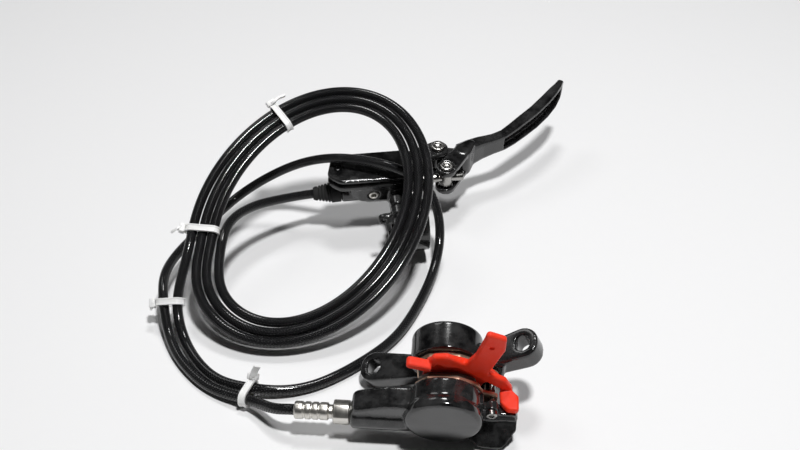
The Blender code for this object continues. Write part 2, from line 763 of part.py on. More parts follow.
def build_lever_mechanism(lever, steel, brass, rubber):
    """Pivot pin and bushes, barrel, reach screw, piston, seals, spring and snap ring."""
    at_pivot = (*PIVOT, EAR_OUTER + GAP)
    screw_head("pivot_pin", PIVOT_HEAD_RADIUS, PIVOT_HEAD, PIVOT_RADIUS, -2 * EAR_OUTER - 0.6,
               lever, steel, at=at_pivot)
    blade = frame("blade_frame", (*PIVOT, 0), parent=lever)
    for level, name in ((1, "pivot_bush_upper"), (-1, "pivot_bush_lower")):
        low, high = sorted((level * 0.3, level * 4.2))
        smooth(turned(name, tube_profile(PIVOT_RADIUS + GAP, BUSH_RADIUS, low, high), axis="Z",
                      segments=16, closed=True, parent=blade, paint=brass))
    barrel = frame("barrel_frame", (BARREL[0] - PIVOT[0], BARREL[1] - PIVOT[1], 0), parent=blade)
    pin = turned("swivel_barrel", [
        (0, -CHEEK_OUTER - 0.4), (BARREL_RADIUS - 0.4, -CHEEK_OUTER - 0.4),
        (BARREL_RADIUS, -CHEEK_OUTER), (BARREL_RADIUS, CHEEK_OUTER + 0.4),
        (BARREL_RADIUS - 0.5, CHEEK_OUTER + 0.9), (0, CHEEK_OUTER + 0.9)],
        axis="Z", segments=20, parent=barrel, paint=steel)
    cross_hole = drill(ROD_RADIUS + GAP, -20, 20, barrel)
    recess = extruded("recess", star(1.9, 0.26), CHEEK_OUTER - 0.2, CHEEK_OUTER + 4,
                      parent=barrel)
    smooth(cut(pin, cross_hole, recess))
    ball = SOCKET_BOTTOM + GAP - BARREL[0]
    tip = ROD_TIP - BARREL[0]
    rod = turned("reach_screw", [
        (0, ball), (ROD_BALL * 0.5, ball + 0.3), (ROD_BALL * 0.87, ball + 1.1),
        (ROD_BALL, ball + 2.2), (ROD_BALL * 0.87, ball + 3.3), (ROD_NECK, ball + 4.0),
        (ROD_NECK, ball + 12.0), (ROD_RADIUS, ball + 12.6), (ROD_RADIUS, tip - 0.5),
        (ROD_RADIUS - 0.5, tip), (0, tip)], segments=16, parent=barrel, paint=steel)
    hexagon = extruded("socket", polygon(1.3, 6), tip - 2.4, tip + 2, axis="X", parent=barrel)
    smooth(cut(rod, hexagon))
    piston = turned("master_piston", [
        (0, PISTON_FRONT), (4.2, PISTON_FRONT), (4.6, PISTON_FRONT + 0.4),
        (4.6, PISTON_FRONT + 1.4), (3.5, PISTON_FRONT + 1.4), (3.5, PISTON_FRONT + 3.4),
        (4.6, PISTON_FRONT + 3.4), (4.6, REAR_SEAL), (3.5, REAR_SEAL),
        (3.5, REAR_SEAL + 2.0), (4.6, REAR_SEAL + 2.0), (4.6, PISTON_REAR - 0.4),
        (4.3, PISTON_REAR), (SOCKET_RADIUS, PISTON_REAR),
        (SOCKET_RADIUS, SOCKET_BOTTOM + 0.8), (2.8, SOCKET_BOTTOM), (0, SOCKET_BOTTOM)],
        at=(0, CYLINDER_Y, 0), segments=18, parent=lever, paint=brass)
    smooth(piston)
    for name, start in (("primary_seal", PISTON_FRONT + 1.6), ("rear_seal", REAR_SEAL + 0.2)):
        smooth(turned(name, tube_profile(3.5 + GAP, MASTER_BORE - 0.25, start, start + 1.6),
                      at=(0, CYLINDER_Y, 0), segments=18, closed=True, parent=lever,
                      paint=rubber))
    spring_low = BORE_BOTTOM + GAP
    spring_high = PISTON_FRONT - GAP
    smooth(turned("return_spring", spring_profile(spring_low, spring_high), segments=12,
                  at=(0, CYLINDER_Y, 0), closed=True, parent=lever, paint=steel))
    smooth(turned("snap_ring", tube_profile(3.9, MASTER_BORE + 0.4, CYLINDER_MOUTH - 1.9,
                                            CYLINDER_MOUTH - 1.2),
                  at=(0, CYLINDER_Y, 0), segments=18, closed=True, parent=lever, paint=steel))
    bleed = turned("lever_bleed_screw", [
        (0, BLEED_FACE - 0.9), (BLEED_SCREW_RADIUS - 0.4, BLEED_FACE - 0.9),
        (BLEED_SCREW_RADIUS, BLEED_FACE - 0.5), (BLEED_SCREW_RADIUS, BLEED_FACE + 4.2),
        (0, BLEED_FACE + 4.2)], at=(BLEED_X, 0, BLEED_Z), axis="Y", segments=16, parent=lever,
        paint=steel)
    socket = extruded("socket", polygon(1.6, 6), BLEED_FACE - 3, BLEED_FACE + 1.4, axis="Y",
                      at=(BLEED_X, 0, BLEED_Z), parent=lever)
    smooth(cut(bleed, socket))
    return blade


def spring_profile(low, high):
    """Corrugated sleeve that stands for the close wound return spring."""
    pitch = (high - low) / SPRING_TURNS
    outer = []
    inner = []
    for turn in range(SPRING_TURNS):
        start = low + turn * pitch
        outer += [(3.4, start), (4.0, start + pitch / 2)]
        inner += [(2.6, start), (3.2, start + pitch / 2)]
    outer.append((3.4, high))
    inner.append((2.6, high))
    return outer + inner[::-1]


def build_hose_end(lever, steel, rubber, brass):
    """Hose nut, barbed insert and ribbed boot at the master cylinder."""
    seat = PORT_END - GAP
    nut = extruded("lever_hose_nut", polygon(4.4, 6), seat - 4.6, seat, axis="X",
                   at=(0, *PORT_AXIS), parent=lever, paint=steel)
    joined(nut, drill(PORT_BORE - GAP, seat - 1, seat + 6.0, lever, (0, *PORT_AXIS)))
    cut(nut, drill(HOSE_RADIUS + GAP, seat - 9, HOSE_START + 1.2, lever, (0, *PORT_AXIS),
                   segments=12))
    turned("barb_insert", [(0, seat + 6.3), (1.4, seat + 6.3), (3.4, seat + 6.9),
                           (3.4, seat + 7.7), (1.6, seat + 8.3), (0, seat + 8.3)],
           at=(0, *PORT_AXIS), segments=12, parent=lever, paint=brass)
    start = PORT_END - GAP
    ribs = [(4.8, start), (5.6, start), (5.8, start - 5.2)]
    for index in range(5):
        along = start - 5.6 - index * 1.7
        radius = 5.4 - index * 0.36
        ribs += [(radius - 0.7, along), (radius, along - 0.4), (radius, along - 1.3)]
    ribs += [(3.4, start - 15.2), (HOSE_RADIUS + GAP, start - 15.2),
             (HOSE_RADIUS + GAP, start - 6.6), (4.8, start - 5.2)]
    smooth(turned("hose_boot", ribs[::-1], at=(0, *PORT_AXIS), segments=16, closed=True,
                  parent=lever, paint=rubber))


def build_caliper_body(parent, upright, paint):
    """One piece caliper: two halves, bridge, mount ears, port boss and their bores."""
    near = turned("caliper_body", [
        (0, NEAR_FACE), (CAP_RADIUS - 1.0, NEAR_FACE), (CAP_RADIUS, NEAR_FACE + 1.0),
        (CAP_RADIUS, NEAR_FACE + 4.0), (HALF_RADIUS, NEAR_FACE + 6.4),
        (HALF_RADIUS, -SLOT_HALF + 2), (0, -SLOT_HALF + 2)],
        axis="Y", segments=40, parent=parent, paint=paint)
    far = turned("far", [
        (0, SLOT_HALF - 2), (HALF_RADIUS, SLOT_HALF - 2), (HALF_RADIUS, FAR_FACE - 1.2),
        (HALF_RADIUS - 1.2, FAR_FACE), (0, FAR_FACE)],
        axis="Y", segments=40, parent=parent, phase=0.21)
    bridge_outline = rounded([
        (-13.0, -6), (-13.0, -15.6), (-8.0, -20.2), (3.0, -24.6), (14.5, -28.7), (23.8, -27.3),
        (27.6, -20.0), (27.6, -10.0), (19.0, -4.0), (10, 6), (-8, 6)], 5, 2)
    bridge = bevel(extruded("bridge", bridge_outline, -BRIDGE_HALF, BRIDGE_HALF, axis="Y",
                            parent=parent), 1.6, 1, 50)
    joined(bridge, extruded("chin", [(9.0, -9.0), (10.0, -15.0), (18.5, -18.6), (25.0, -19.0),
                                     (31.0, -14.6), (32.4, -9.0)], CHIN_FACE, -15.0, axis="Y",
                            parent=upright))
    cut(bridge,
        box("shelf", (SHELF_X, -40, SHELF_Z), (60, -SLOT_HALF + 0.1, 40), parent=upright),
        extruded("front", [(-40, 6), (SHELF_FACE, 6), (SHELF_FACE, -10.5),
                           (CHIN_FACE + 0.4, -17.4), (CHIN_FACE - 0.4, -40), (-40, -40)],
                 4.0, 60.0, axis="X", parent=upright),
        box("far_side", (FAR_SIDE_X, SLOT_HALF - 0.1, -40), (60, 40, 40), parent=upright))
    far_x = EAR_FIRST_X - EAR_SPACING
    parts = [far, bridge]
    for x, root, deep in ((EAR_FIRST_X, 12.5, RIGHT_EAR_DEPTH), (far_x, -12.5, EAR_DEPTH)):
        outline = hull([(x, EAR_Y - MOUNT_HOLE_TRAVEL, MOUNT_EAR_RADIUS),
                        (x, EAR_Y + MOUNT_HOLE_TRAVEL, MOUNT_EAR_RADIUS),
                        (root, 13.4, 5.6)], 20)
        parts.append(bevel(extruded("mount_ear", outline, EAR_TOP - deep, EAR_TOP,
                                    parent=parent), 0.7, 1, 60))
    boss = turned("port_boss", [
        (0, PORT_BOSS_END), (PORT_BOSS_RADIUS - 1.2, PORT_BOSS_END),
        (PORT_BOSS_RADIUS, PORT_BOSS_END + 1.2), (PORT_BOSS_RADIUS, -12), (0, -12)],
        at=(0, PORT_Y, PORT_Z), segments=24, parent=upright)
    shoulder = bevel(extruded("shoulder", hull([(PORT_BOSS_END + 5.4, -2.6, 4.9),
                                                (PORT_BOSS_END + 5.4, -10.0, 4.9),
                                                (-24.0, 0.2, 6.5), (-8.0, -3.0, 10.0)], 20),
                              -18.6, -SLOT_HALF + 0.2, axis="Y", parent=upright), 1.2, 1, 50)
    lug = extruded("lug", hull([(PIN_X, PIN_Z, PIN_LUG_RADIUS),
                                (PIN_X + 0.5, SHELF_Z - 4, PIN_LUG_RADIUS)], 16),
                   PIN_SEAT, -SLOT_HALF - 1.5, axis="Y", parent=upright)
    joined(near, *parts, boss, shoulder, lug)
    groove_out = SEAL_NEAR + SEAL_WIDTH
    cutters = [
        extruded("slot", [(-70, 60), (-70, SLOT_FLOOR), (SLOT_DEEP_X, SLOT_FLOOR),
                          (SLOT_DEEP_X + 1.5, SLOT_DEEP), (70, SLOT_DEEP), (70, 60)],
                 -SLOT_HALF, SLOT_HALF, axis="Y", parent=parent),
        turned("bores", [
            (0, NEAR_BORE_BOTTOM), (CALIPER_BORE, NEAR_BORE_BOTTOM), (CALIPER_BORE, -groove_out),
            (SEAL_GROOVE, -groove_out), (SEAL_GROOVE, -SEAL_NEAR), (CALIPER_BORE, -SEAL_NEAR),
            (CALIPER_BORE, SEAL_NEAR), (SEAL_GROOVE, SEAL_NEAR), (SEAL_GROOVE, groove_out),
            (CALIPER_BORE, groove_out), (CALIPER_BORE, FAR_FACE - BORE_CAP_DEPTH),
            (BORE_CAP_RADIUS + GAP, FAR_FACE - BORE_CAP_DEPTH),
            (BORE_CAP_RADIUS + GAP, FAR_FACE + 5), (0, FAR_FACE + 5)],
            axis="Y", segments=36, phase=0.37, parent=parent),
        drill(PIN_HEAD_RADIUS + 0.5, -40, PIN_SEAT, upright, (PIN_X, 0, PIN_Z), "Y", 16),
        drill(PIN_RADIUS + GAP, -30, PIN_FAR + 0.5, upright, (PIN_X, 0, PIN_Z), "Y", 12),
        turned("port_hole", [
            (0, PORT_BOSS_END - 5), (4.2, PORT_BOSS_END - 5), (4.2, PORT_BOSS_END + 8),
            (1.3, PORT_BOSS_END + 8), (1.3, -10.0), (0, -10.0)],
            at=(0, PORT_Y, PORT_Z), segments=14, phase=0.37, parent=upright),
    ]
    for x in (EAR_FIRST_X, far_x):
        slot = hull([(x, EAR_Y - MOUNT_HOLE_TRAVEL, MOUNT_HOLE_RADIUS),
                     (x, EAR_Y + MOUNT_HOLE_TRAVEL, MOUNT_HOLE_RADIUS)], 16)
        cutters.append(extruded("mount_hole", slot, EAR_TOP - RIGHT_EAR_DEPTH - 3, EAR_TOP + 3,
                                parent=parent))
    return smooth(cut(near, *cutters))


PLATE_OUTLINE = ((-13.0, -8.5), (-13.4, 5.5), (-8.0, 11.3), (6.0, 12.4), (14.5, 8.0),
                 (16.6, 2.4), (23.6, -0.6), (23.6, -7.2), (16.0, -8.8), (10.0, -11.6),
                 (-6.0, -12.2))
LINING_OUTLINE = ((-12.0, -7.6), (-12.4, 4.8), (-7.6, 10.2), (5.4, 11.2), (13.0, 7.2),
                  (14.8, 0.0), (14.0, -7.2), (9.0, -10.4), (-5.6, -11.0))


def build_pads(caliper, upright, steel, seal, copper, lining, alloy):
    """Pistons with seals, and pads with linings, on both sides of the slot."""
    for side, word in ((-1, "outer"), (1, "inner")):
        face = SLOT_HALF - PISTON_PROUD
        back = face + PISTON_LENGTH
        profile = [(0, side * (face + 6)), (PISTON_RADIUS - 3.4, side * (face + 6)),
                   (PISTON_RADIUS - 2.8, side * face),
                   (PISTON_RADIUS - 0.5, side * face), (PISTON_RADIUS, side * (face + 0.5)),
                   (PISTON_RADIUS, side * (back - 0.4)), (PISTON_RADIUS - 0.4, side * back),
                   (0, side * back)]
        smooth(turned(f"piston_{word}", profile, axis="Y", segments=28, parent=caliper,
                      paint=alloy))
        low, high = sorted((side * (SEAL_NEAR + 0.3), side * (SEAL_NEAR + SEAL_WIDTH - 0.3)))
        smooth(turned(f"piston_seal_{word}",
                      tube_profile(PISTON_RADIUS + GAP, SEAL_GROOVE - 0.3, low, high),
                      axis="Y", segments=24, closed=True, parent=caliper, paint=seal))
        plate_face = face - GAP
        low, high = sorted((side * (plate_face - PLATE_THICKNESS), side * plate_face))
        plate = extruded(f"pad_plate_{word}", rounded(PLATE_OUTLINE, 2.4, 3), low, high,
                         axis="Y", parent=upright, paint=copper)
        smooth(cut(plate, drill(PIN_RADIUS + GAP, -12, 12, upright, (PIN_X, 0, PIN_Z), "Y",
                                12)))
        lining_face = plate_face - PLATE_THICKNESS - GAP
        low, high = sorted((side * (lining_face - LINING_THICKNESS), side * lining_face))
        extruded(f"pad_lining_{word}", rounded(LINING_OUTLINE, 2.2, 3), low, high, axis="Y",
                 parent=upright, paint=lining)
    leaf = SLOT_FLOOR + GAP
    leaf_outline = [(-11.6, leaf + 6.5), (-10.4, leaf), (11.6, leaf), (13.4, leaf + 2.4),
                    (12.9, leaf + 2.7), (11.3, leaf + 0.5), (-10.0, leaf + 0.5),
                    (-11.1, leaf + 6.5)]
    extruded("pad_spring", leaf_outline, -6.4, 6.4, axis="Y", parent=caliper, paint=steel)
    pin = turned("pad_pin", [
        (0, PIN_SEAT - 2.6), (PIN_HEAD_RADIUS - 0.4, PIN_SEAT - 2.6),
        (PIN_HEAD_RADIUS, PIN_SEAT - 2.2), (PIN_HEAD_RADIUS, PIN_SEAT - GAP),
        (PIN_RADIUS, PIN_SEAT - GAP), (PIN_RADIUS, PIN_FAR - 0.6), (PIN_RADIUS - 0.5, PIN_FAR),
        (0, PIN_FAR)], at=(PIN_X, 0, PIN_Z), axis="Y", segments=12, parent=upright, paint=steel)
    socket = extruded("socket", polygon(1.4, 6), PIN_SEAT - 5, PIN_SEAT - 1.4, axis="Y",
                      at=(PIN_X, 0, PIN_Z), parent=upright)
    smooth(cut(pin, socket))


def build_spacer(upright, red):
    """Moulded pad spacer: thin tongue between the pads, arched strip, wing and handle."""
    tongue = extruded("pad_spacer", rounded([
        (-8.0, 18.0), (-10.0, 12.0), (-10.5, -4.0), (-6.0, -9.6), (8.0, -9.6), (14.5, -6.0),
        (17.6, 1.5), (26.0, 3.0), (20.0, 12.0), (10.0, 18.0), (0.0, 22.0)], 2.0, 3),
        -SPACER_HALF, SPACER_HALF, axis="Y", parent=upright, paint=red)
    strip = extruded("strip", rounded([
        (-8.4, 15.0), (-8.0, 18.4), (-5.4, 23.2), (0.9, 24.0), (8.8, 18.4), (12.8, 26.0),
        (16.2, 38.6), (17.2, 44.0), (25.6, 40.0), (25.4, 31.0), (18.8, 11.2), (26.8, 6.2),
        (29.6, 0.2), (30.6, -4.6), (25.0, -4.6), (24.2, -0.8), (18.2, 4.4), (5.2, 15.4),
        (-0.9, 15.0), (-3.6, 18.6), (-5.0, 14.6)], 1.5, 2),
        SPACER_STRIP_NEAR, SPACER_STRIP_FAR, axis="Y", parent=upright)
    tab = extruded("tab", hull([(-15.4, 19.6, 1.9), (-8.0, 17.4, 1.9)], 12), -5.6,
                   -SPACER_HALF + 0.2, axis="Y", parent=upright)
    foot = extruded("foot", rounded([
        (24.2, -2.0), (24.8, -9.0), (28.0, -12.4), (33.2, -12.8), (33.0, -5.4), (29.8, -2.0)],
        1.2, 2), SHELF_Z + GAP, SHELF_Z + GAP + 3.6, parent=upright)
    joined(tongue, bevel(strip, 0.7, 1, 50), bevel(tab, 0.6, 1, 50), bevel(foot, 0.6, 1, 50))
    dimple = drill(1.1, SPACER_STRIP_NEAR - 2, SPACER_STRIP_NEAR + 1.0, upright,
                   (19.4, 0, 33.4), "Y", 12)
    return smooth(cut(tongue, dimple))


def build_caliper_fittings(caliper, upright, silver):
    """Aluminium bore cap, hose nut, crimped ferrule and bleed screw."""
    cap = turned("bore_cap", [
        (0, FAR_FACE - BORE_CAP_DEPTH + GAP), (BORE_CAP_RADIUS, FAR_FACE - BORE_CAP_DEPTH + GAP),
        (BORE_CAP_RADIUS, FAR_FACE - 0.2), (BORE_CAP_RADIUS - 0.6, FAR_FACE + 0.4),
        (BORE_CAP_RADIUS - 3.0, FAR_FACE + 0.4), (BORE_CAP_RADIUS - 3.8, FAR_FACE - 0.9),
        (0, FAR_FACE - 0.9)], axis="Y", segments=32, parent=caliper, paint=silver)
    smooth(cap)
    start = PORT_BOSS_END - GAP
    corner = NUT_ACROSS / math.sqrt(3)
    nut = bevel(extruded("caliper_hose_nut", polygon(corner, 6, 30), start - NUT_LENGTH, start,
                         axis="X", at=(0, PORT_Y, PORT_Z), parent=upright, paint=silver), 0.5, 1)
    thread = drill(4.2 - GAP, start - 1, start + 7.0, upright, (0, PORT_Y, PORT_Z), segments=14)
    smooth(joined(nut, thread))
    end = start - NUT_LENGTH - GAP
    ferrule = [(0, end), (FERRULE_RADIUS - 0.9, end), (FERRULE_RADIUS - 0.9, end - 1.6),
               (FERRULE_RADIUS, end - 2.2)]
    for groove in range(3):
        along = end - 5.4 - 3.4 * groove
        ferrule += [(FERRULE_RADIUS, along), (FERRULE_RADIUS - 0.5, along - 0.4),
                    (FERRULE_RADIUS - 0.5, along - 1.0), (FERRULE_RADIUS, along - 1.4)]
    ferrule += [(FERRULE_RADIUS, end - FERRULE_LENGTH + 0.6),
                (FERRULE_RADIUS - 0.6, end - FERRULE_LENGTH), (0, end - FERRULE_LENGTH)]
    smooth(turned("crimp_ferrule", ferrule, at=(0, PORT_Y, PORT_Z), segments=18,
                  parent=upright, paint=silver))
    return end - FERRULE_LENGTH


def coil_point(angle, offset, lift=0.0):
    """A point of the coil by its angle in degrees, lane offset and lift off its plane."""
    turn = math.radians(angle)
    long_way = COIL_LONG * math.cos(turn)
    short_way = COIL_SHORT * math.sin(turn)
    normal = Vector((COIL_SHORT * math.cos(turn), COIL_LONG * math.sin(turn))).normalized()
    long_way += normal.x * offset
    short_way += normal.y * offset
    tilt = math.radians(COIL_TURN)
    u = long_way * math.cos(tilt) - short_way * math.sin(tilt)
    v = long_way * math.sin(tilt) + short_way * math.cos(tilt)
    slope = math.radians(COIL_SLOPE)
    return Vector(COIL_CENTRE) + Vector((u, v * math.cos(slope) - lift * math.sin(slope),
                                         v * math.sin(slope) + lift * math.cos(slope)))


def coil_ring(name, width, depth, angles, parent, paint, inner=None):
    """A band that follows the coil; with inner it is a sleeve round the band."""
    corners = rounded([(-width / 2, -depth / 2), (width / 2, -depth / 2),
                       (width / 2, depth / 2), (-width / 2, depth / 2)], depth * 0.42, 1)
    rings = [[coil_point(angle, o, lift) for o, lift in corners] for angle in angles]
    count = len(corners)
    if inner is None:
        verts = [point for ring in rings for point in ring]
        faces = []
        total = len(rings)
        for ring in range(total):
            after_ring = (ring + 1) % total
            for step in range(count):
                after = (step + 1) % count
                faces.append((ring * count + step, ring * count + after,
                              after_ring * count + after, after_ring * count + step))
        return solid(name, verts, faces, parent=parent, paint=paint)
    made = lofted(name, rings, parent=parent, paint=paint)
    hollow_corners = rounded([(-inner[0] / 2, -inner[1] / 2), (inner[0] / 2, -inner[1] / 2),
                              (inner[0] / 2, inner[1] / 2), (-inner[0] / 2, inner[1] / 2)],
                             inner[1] * 0.42, 1)
    reach = (angles[-1] - angles[0]) * 0.5 + 1.5
    middle = (angles[-1] + angles[0]) * 0.5
    through = [middle - reach, middle, middle + reach]
    hollow = lofted("hollow", [[coil_point(angle, o, lift) for o, lift in hollow_corners]
                               for angle in through], parent=parent)
    return cut(made, hollow)


def pair_tie(name, first, second, heading, parent, paint):
    """A cable tie round two strands that lie side by side; the points are on the strands."""
    along = Vector(heading).normalized()
    middle = (Vector(first) + Vector(second)) / 2
    across = Vector(first) - Vector(second)
    across -= across.dot(along) * along
    half_apart = across.length / 2
    across.normalize()
    up = along.cross(across)

    def sleeve(room, reach, label):
        corners = [(side * half_apart, 0.0, HOSE_RADIUS + room) for side in (-1, 1)]
        outline = hull(corners, 16)
        return lofted(label, [[middle + across * u + up * v + along * step for u, v in outline]
                              for step in (-reach, reach)], parent=parent, paint=paint)

    return cut(sleeve(TIE_ROOM + TIE_WALL, TIE_WIDTH / 2, name),
               sleeve(TIE_ROOM, TIE_WIDTH, "hollow"))


def build_hose(bench, rubber, nylon, ferrule_end):
    """Hose from the lever, coil, loose turn and run to the caliper, with its ties."""
    width = (LANES - 1) * LANE + 2 * HOSE_RADIUS + 0.3
    depth = 2 * HOSE_RADIUS + 0.2
    steps = 60
    band = coil_ring("hose_coil", width, depth, [360 * k / steps for k in range(steps)], bench,
                     rubber)
    smooth(band)
    beside = width / 2 + HOSE_RADIUS + 2 * GAP
    hose("hose_lever_run", [
        lever_point(HOSE_START, *PORT_AXIS), lever_point(HOSE_START - 12, *PORT_AXIS),
        (-65.0, 521.6, 26.0), (-79.4, 507.4, 31.0), (-88.6, 489.6, 34.6),
        coil_point(125.0, -beside - 2.0), coil_point(133.0, -beside - 0.7),
        coil_point(141.0, -beside), coil_point(147.0, -beside)], rubber, bench)
    hose("hose_loose_run", [
        coil_point(131.0, beside), coil_point(136.0, beside), coil_point(141.0, beside, -1.0),
        (-112.2, 450.5, 14.6), (-110.4, 441.4, 7.8), (-106.6, 432.6, 3.8), (-102.0, 424.0, 2.9),
        (-94.4, 412.7, 2.9), (-86.9, 405.4, 2.9), (-78.5, 400.9, 3.8), (-69.2, 398.0, 5.1),
        (-60.0, 397.0, 4.2), (-50.0, 398.8, 2.9), (-38.0, 403.2, 2.9), (-20.0, 416.6, 2.9),
        (-2.0, 436.0, 2.9), (10.0, 462.0, 3.2), (17.6, 484.0, 5.6), (21.4, 500.0, 12.0),
        (21.2, 511.6, 22.4), (15.0, 518.6, 36.4), (2.0, 522.6, 44.2), (-16.0, 529.0, 45.8),
        (-38.0, 533.4, 45.2), (-62.0, 541.4, 33.4), (-88.0, 536.6, 19.4), (-107.0, 513.0, 13.0),
        (-117.6, 486.0, 14.4), (-121.2, 468.0, 18.0), (-119.8, 457.6, 17.6),
        (-118.6, 450.0, 12.8), (-117.2, 442.4, 7.2), (-113.6, 433.0, 3.8), (-108.0, 421.0, 2.9),
        (-98.8, 408.8, 2.9), (-90.4, 400.4, 2.9), (-80.0, 394.3, 4.0), (-70.4, 391.0, 5.3),
        (-63.8, 385.6, 7.0), (-57.8, 378.8, 11.2),
        caliper_point(ferrule_end - 3.0, PORT_Y, PORT_Z),
        caliper_point(ferrule_end - GAP, PORT_Y, PORT_Z)], rubber, bench)
    inner = (width + 2 * GAP, depth + 2 * GAP)
    outer = (inner[0] + 2 * TIE_WALL, inner[1] + 2 * TIE_WALL)
    half = math.degrees(TIE_WIDTH / 2 / COIL_LONG)
    for name, angle in (("cable_tie_top", 55.0), ("cable_tie_side", 120.0)):
        made = coil_ring(name, outer[0], outer[1], [angle - half, angle, angle + half], bench,
                         nylon, inner)
        smooth(made)
    for name, first, second, heading in (
            ("cable_tie_lower", (-111.95, 450.0, 14.15), (-118.7, 450.25, 12.9), (0.03, -0.76, -0.65)),
            ("cable_tie_front", (-69.79, 398.35, 4.8), (-72.45, 391.65, 4.95), (0.94, -0.325, 0.1))):
        smooth(pair_tie(name, first, second, heading, bench, nylon))


def main():
    """Builds the whole brake."""
    for old in list(bpy.data.objects):
        bpy.data.objects.remove(old)
    black = material("gloss_black", (0.012, 0.012, 0.014), 0.22)
    steel = material("steel", (0.55, 0.54, 0.52), 0.3, 1.0)
    silver = material("plated_silver", (0.72, 0.71, 0.68), 0.25, 1.0)
    alloy = material("anodised_alloy", (0.5, 0.5, 0.52), 0.35, 1.0)
    brass = material("brass", (0.62, 0.45, 0.2), 0.35, 1.0)
    copper = material("coppered_steel", (0.45, 0.22, 0.12), 0.4, 1.0)
    lining = material("friction_lining", (0.12, 0.1, 0.085), 0.85)
    rubber = material("black_rubber", (0.02, 0.02, 0.021), 0.6)
    braid = material("hose_jacket", (0.016, 0.016, 0.018), 0.38)
    red = material("red_plastic", (0.72, 0.06, 0.02), 0.4)
    nylon = material("white_nylon", (0.85, 0.85, 0.83), 0.45)

    bench = frame("bench", (-BENCH_ORIGIN[0], -BENCH_ORIGIN[1], 0.0))
    lever = frame("lever_frame", LEVER_PLACE, (LEVER_RAISE, 0, LEVER_YAW), bench)
    upright = frame("caliper_upright", CALIPER_PLACE, (CALIPER_LEAN, 0, CALIPER_YAW), bench)
    caliper = frame("caliper_frame", (0, 0, 0), (0, CALIPER_ROLL, 0), upright)

    build_master_body(lever, black)
    build_lid(lever, black, rubber, steel)
    build_clamp(lever, black, steel)
    blade = build_lever_mechanism(lever, steel, brass, rubber)
    build_blade(blade, black)
    build_hose_end(lever, steel, rubber, brass)

    build_caliper_body(caliper, upright, black)
    build_pads(caliper, upright, steel, rubber, copper, lining, alloy)
    build_spacer(upright, red)
    ferrule_end = build_caliper_fittings(caliper, upright, silver)

    build_hose(bench, braid, nylon, ferrule_end)


main()
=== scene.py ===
"""Hydraulic disc brake: lever with clamp, coiled braided hose and post mount caliper.

Places are given in millimetres, on the bench or in the frames of the lever, the caliper
and the coil, and bench, lever_at, upright_at, caliper_at and coil_at turn them into metres
in the shared frame. Other lengths are in metres, or in millimetres where MM follows them.
"""

import json
import math

import bmesh
import bpy
from bpy.props import FloatProperty, FloatVectorProperty, IntProperty, PointerProperty
from mathutils import Matrix, Vector

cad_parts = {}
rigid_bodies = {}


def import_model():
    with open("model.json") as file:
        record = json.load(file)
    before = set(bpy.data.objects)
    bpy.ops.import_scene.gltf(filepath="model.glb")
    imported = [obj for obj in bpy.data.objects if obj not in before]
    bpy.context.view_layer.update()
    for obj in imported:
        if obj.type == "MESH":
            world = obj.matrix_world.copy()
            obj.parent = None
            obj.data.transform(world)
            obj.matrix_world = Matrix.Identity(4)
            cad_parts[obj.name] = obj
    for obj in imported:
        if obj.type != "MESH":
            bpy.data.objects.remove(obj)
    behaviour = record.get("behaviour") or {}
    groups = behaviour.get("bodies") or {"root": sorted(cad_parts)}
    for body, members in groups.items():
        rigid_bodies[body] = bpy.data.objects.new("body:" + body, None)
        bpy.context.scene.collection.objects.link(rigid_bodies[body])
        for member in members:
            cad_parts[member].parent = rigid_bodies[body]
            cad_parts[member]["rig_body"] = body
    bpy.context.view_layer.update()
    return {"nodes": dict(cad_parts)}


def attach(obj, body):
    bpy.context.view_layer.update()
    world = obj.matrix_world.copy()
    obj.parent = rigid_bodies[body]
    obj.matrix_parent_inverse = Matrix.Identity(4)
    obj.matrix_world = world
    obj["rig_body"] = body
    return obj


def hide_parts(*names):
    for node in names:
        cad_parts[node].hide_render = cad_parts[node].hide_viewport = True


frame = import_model()

bl_info = {
    "name": "Hydraulic disc brake",
    "version": (1, 0, 0),
    "blender": (4, 5, 0),
    "location": "View3D > Sidebar > Brake",
    "description": "Castings, hose, ties, fittings and stage of a bicycle's hydraulic disc brake",
    "category": "Add Mesh",
}

MM = 0.001

# Places on the bench; ORIGIN is the one that the shared frame has at its zero.
ORIGIN = Vector((24.9, 490.9, 0.0))
LEVER_PLACE = Vector((4.9, 506.9, 19.06))
CALIPER_PLACE = Vector((20.5, 382.6, 25.41))
COIL_CENTRE = Vector((-45.6, 490.3, 41.2))

# The coil: its slope and turn on the bench, half its length and half its width, the step
# from one turn to the next and the place of the strands that come and go beside it.
COIL_SLOPE = math.radians(27.3)
COIL_TURN = math.radians(62.5)
COIL_LONG = 71.3
COIL_SHORT = 50.5
LANE = 5.3
BESIDE = 11.05

# The hose on the coil, its angles in degrees: where it starts, the step between its points
# and their number, where it moves to the next lane and over how much, and the gentle rise
# and fall of its turns.
COIL_START = 142.0
COIL_STEP = 9
COIL_POINTS = 120
FIRST_LANE_CHANGE = 128
LANE_CHANGE = 123
LANE_CHANGE_LENGTH = 28
WAVER_HEIGHT = 0.7
WAVER_RATE = 1.13
WAVER_SHIFT = 40
WAVER_START = 150
WAVER_EASE = 60

